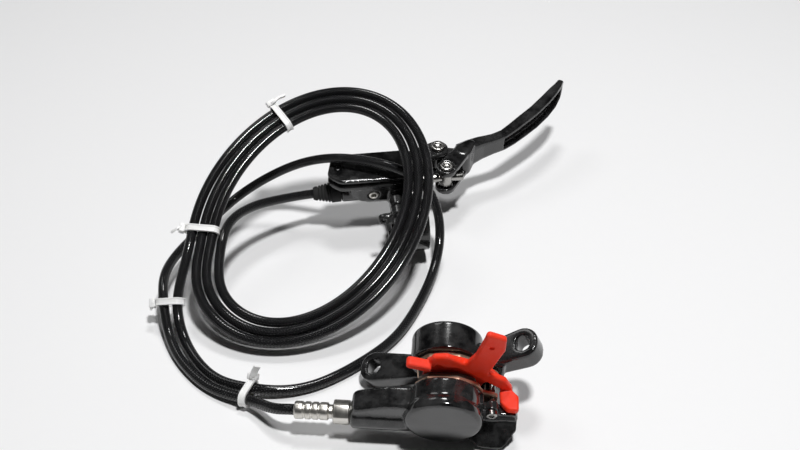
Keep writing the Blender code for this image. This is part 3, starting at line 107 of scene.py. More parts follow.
# The hose off the coil: Y and Z of the port in the lever frame, the ferrule's outer end
# and the Y and Z of its axis in the caliper's upright frame.
PORT_AXIS = (31.6, -1.8)
FERRULE_END = -67.4
FERRULE_AXIS = (-14.5, -8)
LOOSE_RUN = (
    (-112.2, 450.5, 14.6), (-110.4, 441.4, 7.8), (-106.6, 432.6, 3.8), (-102, 424, 2.9),
    (-94.4, 412.7, 2.9), (-86.9, 405.4, 2.9), (-78.5, 400.9, 3.8), (-69.2, 398, 5.1),
    (-60, 397, 4.2), (-50, 398.8, 2.9), (-38, 403.2, 2.9), (-20, 416.6, 2.9), (-2, 436, 2.9),
    (10, 462, 3.2), (17.6, 484, 5.6), (21.4, 500, 12), (21.2, 511.6, 22.4),
    (15, 518.6, 36.4), (2, 522.6, 44.2), (-16, 529, 45.8), (-38, 533.4, 45.2),
    (-62, 541.4, 33.4), (-88, 536.6, 19.4), (-106, 514, 13.6), (-116.2, 491, 14.6),
    (-120.4, 473, 16.6), (-120.6, 460, 16.6), (-118.6, 450, 12.8), (-117.2, 442.4, 7.2),
    (-113.6, 433, 3.8), (-108, 421, 2.9), (-98.8, 408.8, 2.9), (-90.4, 400.4, 2.9),
    (-80, 394.3, 4), (-70.4, 391, 5.3), (-63.8, 385.6, 7), (-57.8, 378.8, 11.2))

# The hose's points: their distance, the rounds that ease the curve and the points at each
# end over which the easing fades out. SPAN_STEPS is how finely smooth_points divides the
# curve between two given points.
HOSE_SPACING = 0.0022
HOSE_EASE_ROUNDS = 16
HOSE_EASE_FADE = 12
SPAN_STEPS = 16

# The caliper's round barrels on the axis of their bores: (radius, place along it) from one
# end to the other, and the inner radius.
NEAR_BARREL = ((16.3, -22.4), (17.35, -21.4), (17.35, -18.5), (16.35, -16.1), (16.35, -7.6))
NEAR_BARREL_INNER = 14.6
FAR_BARREL = ((16.35, 7.6), (16.35, 20.8), (15.3, 21.9))
FAR_BARREL_INNER = 15.0

# The cable ties: their strap with its raised rims, their head along the loop, along the
# hose and outwards, and their teeth.
STRAP_THICKNESS = 1.1 * MM
RIM_WIDTH = 0.5 * MM
RIM_SLOPE = 0.2 * MM
RIM_HEIGHT = 0.28 * MM
TAIL_NARROWING = 0.3 * MM
TAIL_SPACING = 0.0006
HEAD_SIZE = (3.6, 5.0, 3.0)
HEAD_LIFT = 1.3 * MM
HEAD_EDGE = 0.0005
HOSE_RADIUS = 2.5
TOOTH_LENGTH = 0.0005
TOOTH_HEIGHT = 0.0006
TOOTH_MARGIN = 0.0013
TOOTH_SINK = 0.2 * MM

# Points this close are joined and faces this flat, in degrees, are merged. Then the angles
# from which edges are broken and stay sharp in the shading, on machined pieces and ties.
JOIN_DISTANCE = 0.000002
FLAT_ANGLE = 0.6
EDGE_ANGLE = 32
SHARP_ANGLE = 38
TIE_SHARP_ANGLE = 35

# The stage, its places in metres in the shared frame: half the table's side, the world's
# strength and the camera. Each lamp is (name, place, aim, diameter, power).
TABLE_REACH = 6
SKY_AT_HORIZON = 0.62
SKY_ABOVE = 0.46
SKY_SEEN = 0.88
CAMERA_PLACE = (-0.0249, -0.4909, 0.400)
CAMERA_TILT = math.radians(53.1)
CAMERA_LENS = 53.1
LAMPS = (
    ("key", (0.16, -0.3, 1.36), (0, 0.05, 0), 0.16, 14.9),
    ("left_fill", (-0.6, 0.7, 1.2), (0, 0, 0), 0.5, 1.6),
    ("top_light", (0.05, 0.5, 1.4), (0, 0.2, 0), 0.3, 5.4),
)


# Places

def turned_by(*turns):
    """One matrix from turns given as (axis, degrees), the outermost first."""
    matrix = Matrix.Identity(3)
    for axis, angle in turns:
        matrix = matrix @ Matrix.Rotation(math.radians(angle), 3, axis)
    return matrix


LEVER_TURN = turned_by(("Z", 8.0), ("X", 10.0))
UPRIGHT_TURN = turned_by(("Z", -4.2), ("X", 15.7))
CALIPER_TURN = turned_by(("Z", -4.2), ("X", 15.7), ("Y", -22.0))


def bench(point):
    """A point of the bench in the shared frame, in metres."""
    return (Vector(point) - ORIGIN) * MM


def lever_at(x, y, z):
    """A point of the lever frame, in metres."""
    return bench(LEVER_PLACE + LEVER_TURN @ Vector((x, y, z)))


def upright_at(x, y, z):
    """A point of the caliper's upright frame, in metres."""
    return bench(CALIPER_PLACE + UPRIGHT_TURN @ Vector((x, y, z)))


def caliper_at(x, y, z):
    """A point of the caliper's own frame, its slot opening up, in metres."""
    return bench(CALIPER_PLACE + CALIPER_TURN @ Vector((x, y, z)))


def coil_at(angle, offset, lift=0.0):
    """A point of the coil by its angle in degrees, its place across and its lift, in metres."""
    turn = math.radians(angle)
    normal = Vector((COIL_SHORT * math.cos(turn), COIL_LONG * math.sin(turn))).normalized()
    along = COIL_LONG * math.cos(turn) + normal.x * offset
    across = COIL_SHORT * math.sin(turn) + normal.y * offset
    u = along * math.cos(COIL_TURN) - across * math.sin(COIL_TURN)
    v = along * math.sin(COIL_TURN) + across * math.cos(COIL_TURN)
    up = Vector((0, -math.sin(COIL_SLOPE), math.cos(COIL_SLOPE)))
    return bench(COIL_CENTRE + Vector((u, v * math.cos(COIL_SLOPE), v * math.sin(COIL_SLOPE)))
                 + up * lift)


# Settings

class BrakeSizes(bpy.types.PropertyGroup):
    """Sizes of the finish and of the pieces that scene work adds."""

    casting_grain: FloatProperty(
        name="Casting grain", description="Voxel size that rounds the edges of the castings",
        default=0.00045, min=0.0003, max=0.002, subtype="DISTANCE", unit="LENGTH")
    casting_rounds: IntProperty(
        name="Casting rounds", description="How often the castings' edges are smoothed",
        default=7, min=0, max=30)
    machined_edge: FloatProperty(
        name="Machined edge", description="Width of the broken edge on screws and nuts",
        default=0.00016, min=0.0, max=0.001, subtype="DISTANCE", unit="LENGTH")
    hose_diameter: FloatProperty(
        name="Hose diameter", description="Outer diameter of the braided hose",
        default=0.005, min=0.003, max=0.008, subtype="DISTANCE", unit="LENGTH")
    hose_sides: IntProperty(
        name="Hose sides", description="Facets round the hose", default=20, min=8, max=48)
    braid_pitch: FloatProperty(
        name="Braid pitch", description="Length of one diamond of the braid",
        default=0.0016, min=0.0005, max=0.006, subtype="DISTANCE", unit="LENGTH")
    tie_width: FloatProperty(
        name="Tie width", description="Width of a cable tie's strap",
        default=0.0034, min=0.002, max=0.008, subtype="DISTANCE", unit="LENGTH")


class BrakeColours(bpy.types.PropertyGroup):
    """Colours of the finishes."""

    gloss_black: FloatVectorProperty(
        name="Gloss black", description="Painted castings of lever and caliper",
        default=(0.003, 0.003, 0.0033), size=3, min=0, max=1, subtype="COLOR")
    hose_black: FloatVectorProperty(
        name="Hose black", description="Jacket of the hose",
        default=(0.006, 0.006, 0.0065), size=3, min=0, max=1, subtype="COLOR")
    hose_thread: FloatVectorProperty(
        name="Hose thread", description="Braid threads that catch the light",
        default=(0.05, 0.05, 0.054), size=3, min=0, max=1, subtype="COLOR")
    spacer_red: FloatVectorProperty(
        name="Spacer red", description="Moulded pad spacer",
        default=(0.90, 0.034, 0.006), size=3, min=0, max=1, subtype="COLOR")
    bright_metal: FloatVectorProperty(
        name="Bright metal", description="Plated ferrule and nut",
        default=(0.66, 0.64, 0.60), size=3, min=0, max=1, subtype="COLOR")
    steel: FloatVectorProperty(
        name="Steel", description="Screws, pins and barrel",
        default=(0.38, 0.375, 0.36), size=3, min=0, max=1, subtype="COLOR")
    nylon: FloatVectorProperty(
        name="Nylon", description="Cable ties",
        default=(0.90, 0.90, 0.89), size=3, min=0, max=1, subtype="COLOR")
    floor: FloatVectorProperty(
        name="Floor", description="Table under the brake",
        default=(0.90, 0.90, 0.905), size=3, min=0, max=1, subtype="COLOR")


# Shader groups

def shader_group(name, inputs, outputs):
    """An empty shader group with named sockets; inputs are (name, kind, default)."""
    tree = bpy.data.node_groups.new(name, "ShaderNodeTree")
    for label, kind, default in inputs:
        socket = tree.interface.new_socket(label, in_out="INPUT", socket_type=f"NodeSocket{kind}")
        if default is not None:
            socket.default_value = default
    for label, kind in outputs:
        tree.interface.new_socket(label, in_out="OUTPUT", socket_type=f"NodeSocket{kind}")
    return tree, Wires(tree)


class Wires:
    """Short ways to place and join nodes in one tree."""

    def __init__(self, tree):
        self.tree = tree

    def node(self, kind, values=(), **settings):
        """A node with its settings; values are (socket, value or source socket)."""
        made = self.tree.nodes.new(kind)
        for key, value in settings.items():
            setattr(made, key, value)
        for socket, value in values:
            self.feed(made.inputs[socket], value)
        return made

    def feed(self, socket, value):
        """Joins a source socket to the socket or sets its value."""
        if isinstance(value, bpy.types.NodeSocket):
            self.tree.links.new(value, socket)
        elif isinstance(value, (tuple, list)) and len(value) == 3 and socket.type == "RGBA":
            socket.default_value = (*value, 1.0)
        else:
            socket.default_value = value

    def maths(self, operation, *values):
        """Result of a Math node."""
        made = self.node("ShaderNodeMath", enumerate(values), operation=operation)
        return made.outputs[0]

    def mapped(self, value, low, high, to_low=0.0, to_high=1.0):
        """Result of a clamped Map Range node."""
        made = self.node("ShaderNodeMapRange", enumerate((value, low, high, to_low, to_high)))
        return made.outputs[0]

    def noise(self, where, scale, detail=2.0, roughness=0.5):
        """Value of a noise texture at a place."""
        made = self.node("ShaderNodeTexNoise", (("Vector", where), ("Scale", scale),
                                               ("Detail", detail), ("Roughness", roughness)))
        return made.outputs["Fac"]

    def mixed(self, share, first, second):
        """Colour between two, by a share."""
        made = self.node("ShaderNodeMix", data_type="RGBA")
        self.feed(made.inputs[0], share)
        self.feed(made.inputs[6], first)
        self.feed(made.inputs[7], second)
        return made.outputs[2]


def make_skin_group():
    """Uneven tone, fine dust and a gentle waviness for painted and moulded pieces."""
    tree, wires = shader_group("Skin", [
        ("Place", "Vector", None), ("Colour", "Color", (0.5, 0.5, 0.5, 1)),
        ("Dust Colour", "Color", (0.6, 0.6, 0.6, 1)), ("Dust", "Float", 0.2),
        ("Roughness", "Float", 0.2), ("Wave Scale", "Float", 900.0)],
        [("Colour", "Color"), ("Roughness", "Float"), ("Height", "Float")])
    entry = wires.node("NodeGroupInput").outputs
    tone = wires.noise(entry["Place"], 130.0, 4.0, 0.6)
    toned = wires.mixed(wires.mapped(tone, 0.35, 0.65), entry["Colour"],
                        wires.mixed(0.12, entry["Colour"], (1, 1, 1)))
    toned = wires.mixed(0.25, entry["Colour"], toned)
    grit = wires.noise(entry["Place"], 5200.0, 1.0, 0.4)
    patch = wires.noise(entry["Place"], 260.0, 3.0, 0.6)
    specks = wires.maths("MULTIPLY", wires.mapped(grit, 0.66, 0.74),
                         wires.mapped(patch, 0.45, 0.62))
    specks = wires.maths("MULTIPLY", specks, entry["Dust"])
    wave = wires.noise(entry["Place"], entry["Wave Scale"], 1.0, 0.4)
    rough = wires.maths("ADD", entry["Roughness"], wires.mapped(patch, 0.3, 0.7, 0.0, 0.05))
    rough = wires.maths("ADD", rough, wires.maths("MULTIPLY", specks, 0.4))
    wires.node("NodeGroupOutput", (("Colour", wires.mixed(specks, toned, entry["Dust Colour"])),
                                   ("Roughness", rough), ("Height", wave)))
    return tree


def make_wear_group():
    """Mask of the edges where the finish has rubbed thin."""
    tree, wires = shader_group("Edge Wear", [
        ("Place", "Vector", None), ("Amount", "Float", 0.5)], [("Mask", "Float")])
    entry = wires.node("NodeGroupInput").outputs
    edge = wires.mapped(wires.node("ShaderNodeNewGeometry").outputs["Pointiness"], 0.53, 0.60)
    chance = wires.mapped(wires.noise(entry["Place"], 420.0, 5.0, 0.7), 0.48, 0.66)
    wires.node("NodeGroupOutput", (("Mask", wires.maths(
        "MULTIPLY", wires.maths("MULTIPLY", edge, chance), entry["Amount"])),))
    return tree


def make_braid_group():
    """Crossing threads of a braid, from how far round and how far along the hose a point is."""
    tree, wires = shader_group("Braid", [
        ("Round", "Float", 0.0), ("Along", "Float", 0.0), ("Threads", "Float", 8.0),
        ("Pitch", "Float", 0.0016)], [("Crown", "Float"), ("Height", "Float")])
    entry = wires.node("NodeGroupInput").outputs
    turn = wires.maths("MULTIPLY", wires.maths("MULTIPLY", entry["Round"], entry["Threads"]),
                       2 * math.pi)
    run = wires.maths("MULTIPLY", wires.maths("DIVIDE", entry["Along"], entry["Pitch"]),
                      2 * math.pi)
    rising = wires.maths("SINE", wires.maths("ADD", turn, run))
    falling = wires.maths("SINE", wires.maths("SUBTRACT", turn, run))
    height = wires.maths("MULTIPLY", wires.maths("MAXIMUM", rising, falling), 0.5)
    height = wires.maths("ADD", height, 0.5)
    crown = wires.mapped(wires.maths("MULTIPLY", rising, falling), 0.45, 0.95)
    wires.node("NodeGroupOutput", (("Crown", crown), ("Height", height)))
    return tree


def make_turned_group():
    """Fine lathe lines round a piece's axis, for turned and plated metal."""
    tree, wires = shader_group("Turned Lines", [
        ("Place", "Vector", None), ("Roughness", "Float", 0.25), ("Scale", "Float", 2400.0)],
        [("Roughness", "Float"), ("Height", "Float"), ("Stain", "Float")])
    entry = wires.node("NodeGroupInput").outputs
    stretched = wires.node("ShaderNodeVectorMath", ((0, entry["Place"]), (1, (1.0, 0.06, 0.06))),
                           operation="MULTIPLY").outputs[0]
    lines = wires.noise(stretched, entry["Scale"], 2.0, 0.6)
    stain = wires.mapped(wires.noise(entry["Place"], 330.0, 4.0, 0.6), 0.45, 0.7)
    rough = wires.maths("ADD", entry["Roughness"], wires.mapped(lines, 0.3, 0.7, -0.06, 0.08))
    wires.node("NodeGroupOutput", (("Roughness", rough), ("Height", lines), ("Stain", stain)))
    return tree


# Materials

def bare_material(name, **values):
    """A material with its Principled shader, object coordinates and wires."""
    made = bpy.data.materials.new(name)
    made.use_nodes = True
    wires = Wires(made.node_tree)
    shader = made.node_tree.nodes["Principled BSDF"]
    for label, value in values.items():
        wires.feed(shader.inputs[label.replace("_", " ")], value)
    place = wires.node("ShaderNodeTexCoord").outputs["Object"]
    return made, wires, shader, place


def bumped(wires, shader, height, strength, distance):
    """Feeds a bump from a height to the shader's normal."""
    bump = wires.node("ShaderNodeBump", (("Strength", strength), ("Distance", distance),
                                         ("Height", height)))
    wires.feed(shader.inputs["Normal"], bump.outputs[0])


def skin_material(name, colour, roughness, dust=0.15, wave=0.00004, scale=900.0, worn=None,
                  wear=0.5, dust_colour=(0.5, 0.49, 0.47), **values):
    """Painted or moulded finish; worn is the colour that shows where edges have rubbed."""
    made, wires, shader, place = bare_material(name, **values)
    skin = wires.node("ShaderNodeGroup", node_tree=bpy.data.node_groups["Skin"])
    for label, value in (("Place", place), ("Colour", colour), ("Dust Colour", dust_colour),
                         ("Dust", dust), ("Roughness", roughness), ("Wave Scale", scale)):
        wires.feed(skin.inputs[label], value)
    tone = skin.outputs["Colour"]
    if worn:
        edges = wires.node("ShaderNodeGroup", (("Place", place), ("Amount", wear)),
                           node_tree=bpy.data.node_groups["Edge Wear"])
        tone = wires.mixed(edges.outputs["Mask"], tone, worn)
    wires.feed(shader.inputs["Base Color"], tone)
    wires.feed(shader.inputs["Roughness"], skin.outputs["Roughness"])
    bumped(wires, shader, skin.outputs["Height"], 1.0, wave)
    return made


def metal_material(name, colour, roughness, stain_colour, stain=0.35, scale=2400.0,
                   depth=0.00002):
    """Turned or plated metal with fine lines and a faint stain."""
    made, wires, shader, place = bare_material(name, Metallic=1.0)
    lines = wires.node("ShaderNodeGroup", (("Place", place), ("Roughness", roughness),
                                           ("Scale", scale)),
                       node_tree=bpy.data.node_groups["Turned Lines"])
    share = wires.maths("MULTIPLY", lines.outputs["Stain"], stain)
    wires.feed(shader.inputs["Base Color"], wires.mixed(share, colour, stain_colour))
    wires.feed(shader.inputs["Roughness"], lines.outputs["Roughness"])
    bumped(wires, shader, lines.outputs["Height"], 0.5, depth)
    return made


def hose_material(name, jacket, thread, pitch):
    """Clear coated black hose whose braid shows as fine diamonds."""
    made, wires, shader, place = bare_material(name, Coat_Roughness=0.08, Specular_IOR_Level=0.1)
    where = wires.node("ShaderNodeUVMap", uv_map="hose_run").outputs[0]
    split = wires.node("ShaderNodeSeparateXYZ", ((0, where),)).outputs
    braid = wires.node("ShaderNodeGroup", (("Round", split[0]), ("Along", split[1]),
                                           ("Threads", 10.0), ("Pitch", pitch)),
                       node_tree=bpy.data.node_groups["Braid"])
    patch = wires.mapped(wires.noise(place, 60.0, 3.0, 0.6), 0.35, 0.65, 0.55, 1.0)
    crown = wires.maths("MULTIPLY", braid.outputs["Crown"], patch)
    wires.feed(shader.inputs["Base Color"], wires.mixed(crown, jacket, thread))
    wires.feed(shader.inputs["Roughness"], wires.mapped(braid.outputs["Height"], 0.0, 1.0,
                                                        0.42, 0.2))
    wires.feed(shader.inputs["Coat Weight"], wires.mapped(braid.outputs["Height"], 0.4, 0.95,
                                                          0.03, 1.0))
    bumped(wires, shader, braid.outputs["Height"], 0.9, 0.0003)
    return made


def make_materials():
    """Every finish of the brake."""
    colours = bpy.context.scene.brake_colours
    sizes = bpy.context.scene.brake_sizes
    make_skin_group()
    make_wear_group()
    make_braid_group()
    make_turned_group()
    skin_material("gloss_black_paint", tuple(colours.gloss_black), 0.12, dust=0.015, wave=0.00001,
                  scale=700.0, worn=(0.16, 0.155, 0.15), wear=0.08, Coat_Weight=0.35,
                  Coat_Roughness=0.06)
    skin_material("spacer_plastic", tuple(colours.spacer_red), 0.36, dust=0.05, wave=0.00003,
                  scale=1300.0, worn=(0.88, 0.22, 0.16), wear=0.8,
                  dust_colour=(0.9, 0.12, 0.05), Specular_IOR_Level=0.12,
                  Subsurface_Weight=0.12, Subsurface_Scale=0.001,
                  Subsurface_Radius=(1.0, 0.25, 0.12))
    skin_material("tie_nylon", tuple(colours.nylon), 0.38, dust=0.05, wave=0.00002,
                  scale=1500.0, dust_colour=(0.5, 0.5, 0.48), Subsurface_Weight=0.2,
                  Subsurface_Scale=0.001, Subsurface_Radius=(1.0, 1.0, 0.9))
    skin_material("black_rubber", (0.014, 0.014, 0.0145), 0.55, dust=0.3, wave=0.00005,
                  scale=3000.0)
    skin_material("seal_rubber", (0.012, 0.012, 0.012), 0.5, dust=0.1, wave=0.00004,
                  scale=3500.0)
    skin_material("friction_lining", (0.10, 0.085, 0.07), 0.85, dust=0.9, wave=0.0002,
                  scale=2200.0, dust_colour=(0.42, 0.28, 0.14))
    skin_material("coppered_plate", (0.62, 0.42, 0.30), 0.34, dust=0.3, wave=0.00003,
                  scale=1800.0, dust_colour=(0.25, 0.14, 0.09), Metallic=0.85)
    metal_material("bright_metal", tuple(colours.bright_metal), 0.34, (0.40, 0.38, 0.34),
                   stain=0.2)
    metal_material("screw_steel", tuple(colours.steel), 0.24, (0.20, 0.19, 0.18))
    metal_material("blackened_steel", (0.09, 0.09, 0.092), 0.3, (0.03, 0.03, 0.03))
    metal_material("cap_alloy", (0.62, 0.62, 0.61), 0.24, (0.34, 0.33, 0.31))
    metal_material("piston_alloy", (0.55, 0.55, 0.56), 0.34, (0.28, 0.27, 0.26))
    metal_material("brass", (0.66, 0.47, 0.20), 0.3, (0.36, 0.22, 0.09))
    hose_material("braided_hose", tuple(colours.hose_black), tuple(colours.hose_thread),
                  sizes.braid_pitch)


def paint(made, name):
    """Gives the object one material in every slot."""
    finish = bpy.data.materials[name]
    made.data.materials.clear()
    made.data.materials.append(finish)
    return made


# Mesh helpers

def placed(name, data):
    """An object with this data, linked at the origin."""
    made = bpy.data.objects.new(name, data)
    bpy.context.scene.collection.objects.link(made)
    return made


def from_points(name, verts, faces):
    """An object from points in metres, its faces turned outwards."""
    mesh = bpy.data.meshes.new(name)
    mesh.from_pydata([tuple(v) for v in verts], [], faces)
    edit = bmesh.new()
    edit.from_mesh(mesh)
    bmesh.ops.recalc_face_normals(edit, faces=edit.faces)
    edit.to_mesh(mesh)
    edit.free()
    return placed(name, mesh)


def merged_copy(name, *nodes):
    """A copy of CAD nodes with their points joined and flat faces whole."""
    edit = bmesh.new()
    for node in nodes:
        edit.from_mesh(frame["nodes"][node].data)
    bmesh.ops.remove_doubles(edit, verts=edit.verts, dist=JOIN_DISTANCE)
    bmesh.ops.dissolve_limit(edit, angle_limit=math.radians(FLAT_ANGLE), verts=edit.verts,
                             edges=edit.edges)
    mesh = bpy.data.meshes.new(name)
    edit.to_mesh(mesh)
    edit.free()
    return placed(name, mesh)


def applied(made):
    """Gives the object the plain mesh that its modifiers make."""
    bpy.context.view_layer.update()
    graph = bpy.context.evaluated_depsgraph_get()
    mesh = bpy.data.meshes.new_from_object(made.evaluated_get(graph))
    made.modifiers.clear()
    made.data = mesh


def soft_edges(made, width):
    """Breaks the sharp edges to this width and shades the rest smooth."""
    if width > 0:
        modifier = made.modifiers.new("edge", "BEVEL")
        modifier.width = width
        modifier.segments = 2
        modifier.limit_method = "ANGLE"
        modifier.angle_limit = math.radians(EDGE_ANGLE)
        applied(made)
    shade_by_angle(made, SHARP_ANGLE)


def shade_by_angle(made, degrees):
    """Shades the mesh smooth but for the edges that bend more than this."""
    made.data.shade_smooth()
    made.data.set_sharp_from_angle(angle=math.radians(degrees))


def fine_shell(edit, place, profile, inner, segments=96):
    """Adds a round shell to the mesh, on an axis given by place(along, u, v) in millimetres."""
    outline = [(inner, profile[0][1]), *profile, (inner, profile[-1][1])]
    rows = []
    for step in range(segments):
        turn = 2 * math.pi * step / segments
        rows.append([edit.verts.new(place(along, radius * math.cos(turn),
                                          radius * math.sin(turn)))
                     for radius, along in outline])
    made = []
    for row, after in zip(rows, rows[1:] + rows[:1]):
        for index in range(len(outline)):
            beside = (index + 1) % len(outline)
            made.append(edit.faces.new((row[index], row[beside], after[beside], after[index])))
    bmesh.ops.recalc_face_normals(edit, faces=made)


def cast(name, node, finish, grain=1.0, rounds=None, shells=()):
    """A casting made from a CAD node: its mesh is rebuilt finely and its edges rounded.

    Shells make its turned parts truly round; each is (place, profile, inner radius).
    """
    sizes = bpy.context.scene.brake_sizes
    made = merged_copy(name, node)
    edit = bmesh.new()
    edit.from_mesh(made.data)
    for place, profile, inner in shells:
        fine_shell(edit, place, profile, inner)
    edit.to_mesh(made.data)
    edit.free()
    rebuild = made.modifiers.new("rebuild", "REMESH")
    rebuild.mode = "VOXEL"
    rebuild.voxel_size = sizes.casting_grain * grain
    rebuild.use_smooth_shade = True
    ease = made.modifiers.new("ease", "SMOOTH")
    ease.factor = 0.5
    ease.iterations = sizes.casting_rounds if rounds is None else rounds
    applied(made)
    made.data.shade_smooth()
    return stand_in(paint(made, finish), node)


def machined(name, node, finish, edge=None):
    """A turned or milled piece made from a CAD node, its edges broken."""
    sizes = bpy.context.scene.brake_sizes
    made = merged_copy(name, node)
    soft_edges(made, sizes.machined_edge if edge is None else edge)
    return stand_in(paint(made, finish), node)


def stand_in(made, *nodes):
    """The piece rides where its CAD nodes ride and shows in their place."""
    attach(made, frame["nodes"][nodes[0]]["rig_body"])
    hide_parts(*nodes)
    return made


# Hose

def smooth_points(points, spacing):
    """Even points, in metres, on a smooth curve through the given ones."""
    padded = [points[0] * 2 - points[1], *points, points[-1] * 2 - points[-2]]
    fine = []
    for a, b, c, d in zip(padded, padded[1:], padded[2:], padded[3:]):
        for step in range(SPAN_STEPS):
            t = step / SPAN_STEPS
            fine.append(0.5 * ((2 * b) + (c - a) * t + (2 * a - 5 * b + 4 * c - d) * t * t
                               + (3 * b - a - 3 * c + d) * t ** 3))
    fine.append(points[-1])
    length = sum((q - p).length for p, q in zip(fine, fine[1:]))
    count = max(2, round(length / spacing))
    route = [fine[0]]
    wanted = length / count
    walked = 0.0
    for p, q in zip(fine, fine[1:]):
        piece = (q - p).length
        while walked + piece >= wanted - 1e-12 and len(route) < count:
            route.append(p.lerp(q, (wanted - walked) / piece))
            wanted += length / count
        walked += piece
    route.append(fine[-1])
    return route


def eased(t):
    """Smooth step from 0 to 1."""
    t = min(1.0, max(0.0, t))
    return t * t * (3 - 2 * t)


def coil_lane(angle):
    """Place across the coil of the hose at its running angle; each turn moves one lane out."""
    lanes = (-BESIDE, -LANE, 0.0, LANE, BESIDE)
    place = lanes[0]
    for turn in range(4):
        start = 360 * turn + (LANE_CHANGE if turn else FIRST_LANE_CHANGE)
        place += (lanes[turn + 1] - lanes[turn]) * eased((angle - start) / LANE_CHANGE_LENGTH)
    return place


def hose_route():
    """Points of the hose: from the lever, three turns of coil, the loose turn, the caliper."""
    points = [lever_at(-37.5, *PORT_AXIS), lever_at(-49.5, *PORT_AXIS), bench((-65, 521.6, 26)),
              bench((-79.4, 507.4, 31)), bench((-88.6, 489.6, 34.6)), coil_at(125, -10.5),
              coil_at(133, -9.6)]
    for step in range(COIL_POINTS):
        angle = COIL_START + COIL_STEP * step
        lift = WAVER_HEIGHT * math.sin(math.radians(angle * WAVER_RATE + WAVER_SHIFT))
        lift *= eased((angle - WAVER_START) / WAVER_EASE)
        lift *= eased((LANE_CHANGE + 3 * 360 - angle) / WAVER_EASE)
        points.append(coil_at(angle, coil_lane(angle), lift))
    points += [bench(point) for point in LOOSE_RUN]
    points += [upright_at(FERRULE_END - gap, *FERRULE_AXIS) for gap in (3, 0.3)]
    route = smooth_points(points, HOSE_SPACING)
    last = len(route) - 1
    for _ in range(HOSE_EASE_ROUNDS):
        for index in range(1, last):
            middle = (route[index - 1] + route[index + 1]) / 2
            share = 0.5 * min(1.0, index / HOSE_EASE_FADE, (last - index) / HOSE_EASE_FADE)
            route[index] = route[index].lerp(middle, share)
    return route


def tube_tree():
    """Geometry Nodes: a tube along a curve, with how far round and along it in its UV map."""
    tree = bpy.data.node_groups.new("Hose Tube", "GeometryNodeTree")
    face = tree.interface
    face.new_socket("Geometry", in_out="INPUT", socket_type="NodeSocketGeometry")
    face.new_socket("Diameter", in_out="INPUT", socket_type="NodeSocketFloat")
    face.new_socket("Sides", in_out="INPUT", socket_type="NodeSocketInt")
    face.new_socket("Finish", in_out="INPUT", socket_type="NodeSocketMaterial")
    face.new_socket("Geometry", in_out="OUTPUT", socket_type="NodeSocketGeometry")
    wires = Wires(tree)
    entry = wires.node("NodeGroupInput").outputs
    length = wires.node("GeometryNodeSplineParameter").outputs["Length"]
    along = wires.node("GeometryNodeStoreNamedAttribute", (
        ("Geometry", entry["Geometry"]), ("Name", "run"), ("Value", length)),
        data_type="FLOAT", domain="POINT").outputs[0]
    radius = wires.maths("MULTIPLY", entry["Diameter"], 0.5)
    ring = wires.node("GeometryNodeCurvePrimitiveCircle", (
        ("Resolution", entry["Sides"]), ("Radius", radius))).outputs[0]
    factor = wires.node("GeometryNodeSplineParameter").outputs["Factor"]
    ring = wires.node("GeometryNodeStoreNamedAttribute", (
        ("Geometry", ring), ("Name", "round"), ("Value", factor)),
        data_type="FLOAT", domain="POINT").outputs[0]
    tube = wires.node("GeometryNodeCurveToMesh", (
        ("Curve", along), ("Profile Curve", ring), ("Fill Caps", True))).outputs[0]
    run = wires.node("GeometryNodeInputNamedAttribute", (("Name", "run"),),
                     data_type="FLOAT").outputs["Attribute"]
    around = wires.node("GeometryNodeInputNamedAttribute", (("Name", "round"),),
                        data_type="FLOAT").outputs["Attribute"]
    both = wires.node("ShaderNodeCombineXYZ", (("X", around), ("Y", run))).outputs[0]
    tube = wires.node("GeometryNodeStoreNamedAttribute", (
        ("Geometry", tube), ("Name", "hose_run"), ("Value", both)),
        data_type="FLOAT2", domain="CORNER").outputs[0]
    tube = wires.node("GeometryNodeSetShadeSmooth", (("Geometry", tube),)).outputs[0]
    tube = wires.node("GeometryNodeRealizeInstances", (("Geometry", tube),)).outputs[0]
    tube = wires.node("GeometryNodeSetMaterial", (
        ("Geometry", tube), ("Material", entry["Finish"]))).outputs[0]
    wires.node("NodeGroupOutput", (("Geometry", tube),))
    return tree


def poly_curve(name, route):
    """A curve of one open spline with straight pieces from point to point."""
    curve = bpy.data.curves.new(name, "CURVE")
    curve.dimensions = "3D"
    spline = curve.splines.new("POLY")
    spline.points.add(len(route) - 1)
    for point, place in zip(spline.points, route):
        point.co = (*place, 1.0)
    return placed(name, curve)


def with_tree(made, tree, **inputs):
    """Adds the tree as a modifier, its inputs set by the sockets' names."""
    modifier = made.modifiers.new(tree.name, "NODES")
    modifier.node_group = tree
    for item in tree.interface.items_tree:
        if item.item_type == "SOCKET" and item.in_out == "INPUT" and item.name in inputs:
            modifier[item.identifier] = inputs[item.name]
    return made


def grown(name, source):
    """The plain mesh that the source's modifiers make, as a new object; the source goes."""
    bpy.context.view_layer.update()
    graph = bpy.context.evaluated_depsgraph_get()
    mesh = bpy.data.meshes.new_from_object(source.evaluated_get(graph))
    bpy.data.objects.remove(source)
    mesh.name = name
    return placed(name, mesh)


class BRAKE_OT_hose(bpy.types.Operator):
    """Braided hose from the lever to the caliper, with its coil and loose turn"""

    bl_idname = "brake.hose"
    bl_label = "Hose"

    def execute(self, context):
        sizes = context.scene.brake_sizes
        route = hose_route()
        line = poly_curve("hose_line", route)
        with_tree(line, tube_tree(), Diameter=sizes.hose_diameter, Sides=sizes.hose_sides,
                  Finish=bpy.data.materials["braided_hose"])
        made = grown("hose", line)
        stand_in(made, "hose_lever_run", "hose_coil", "hose_loose_run")
        return {"FINISHED"}


# Lever

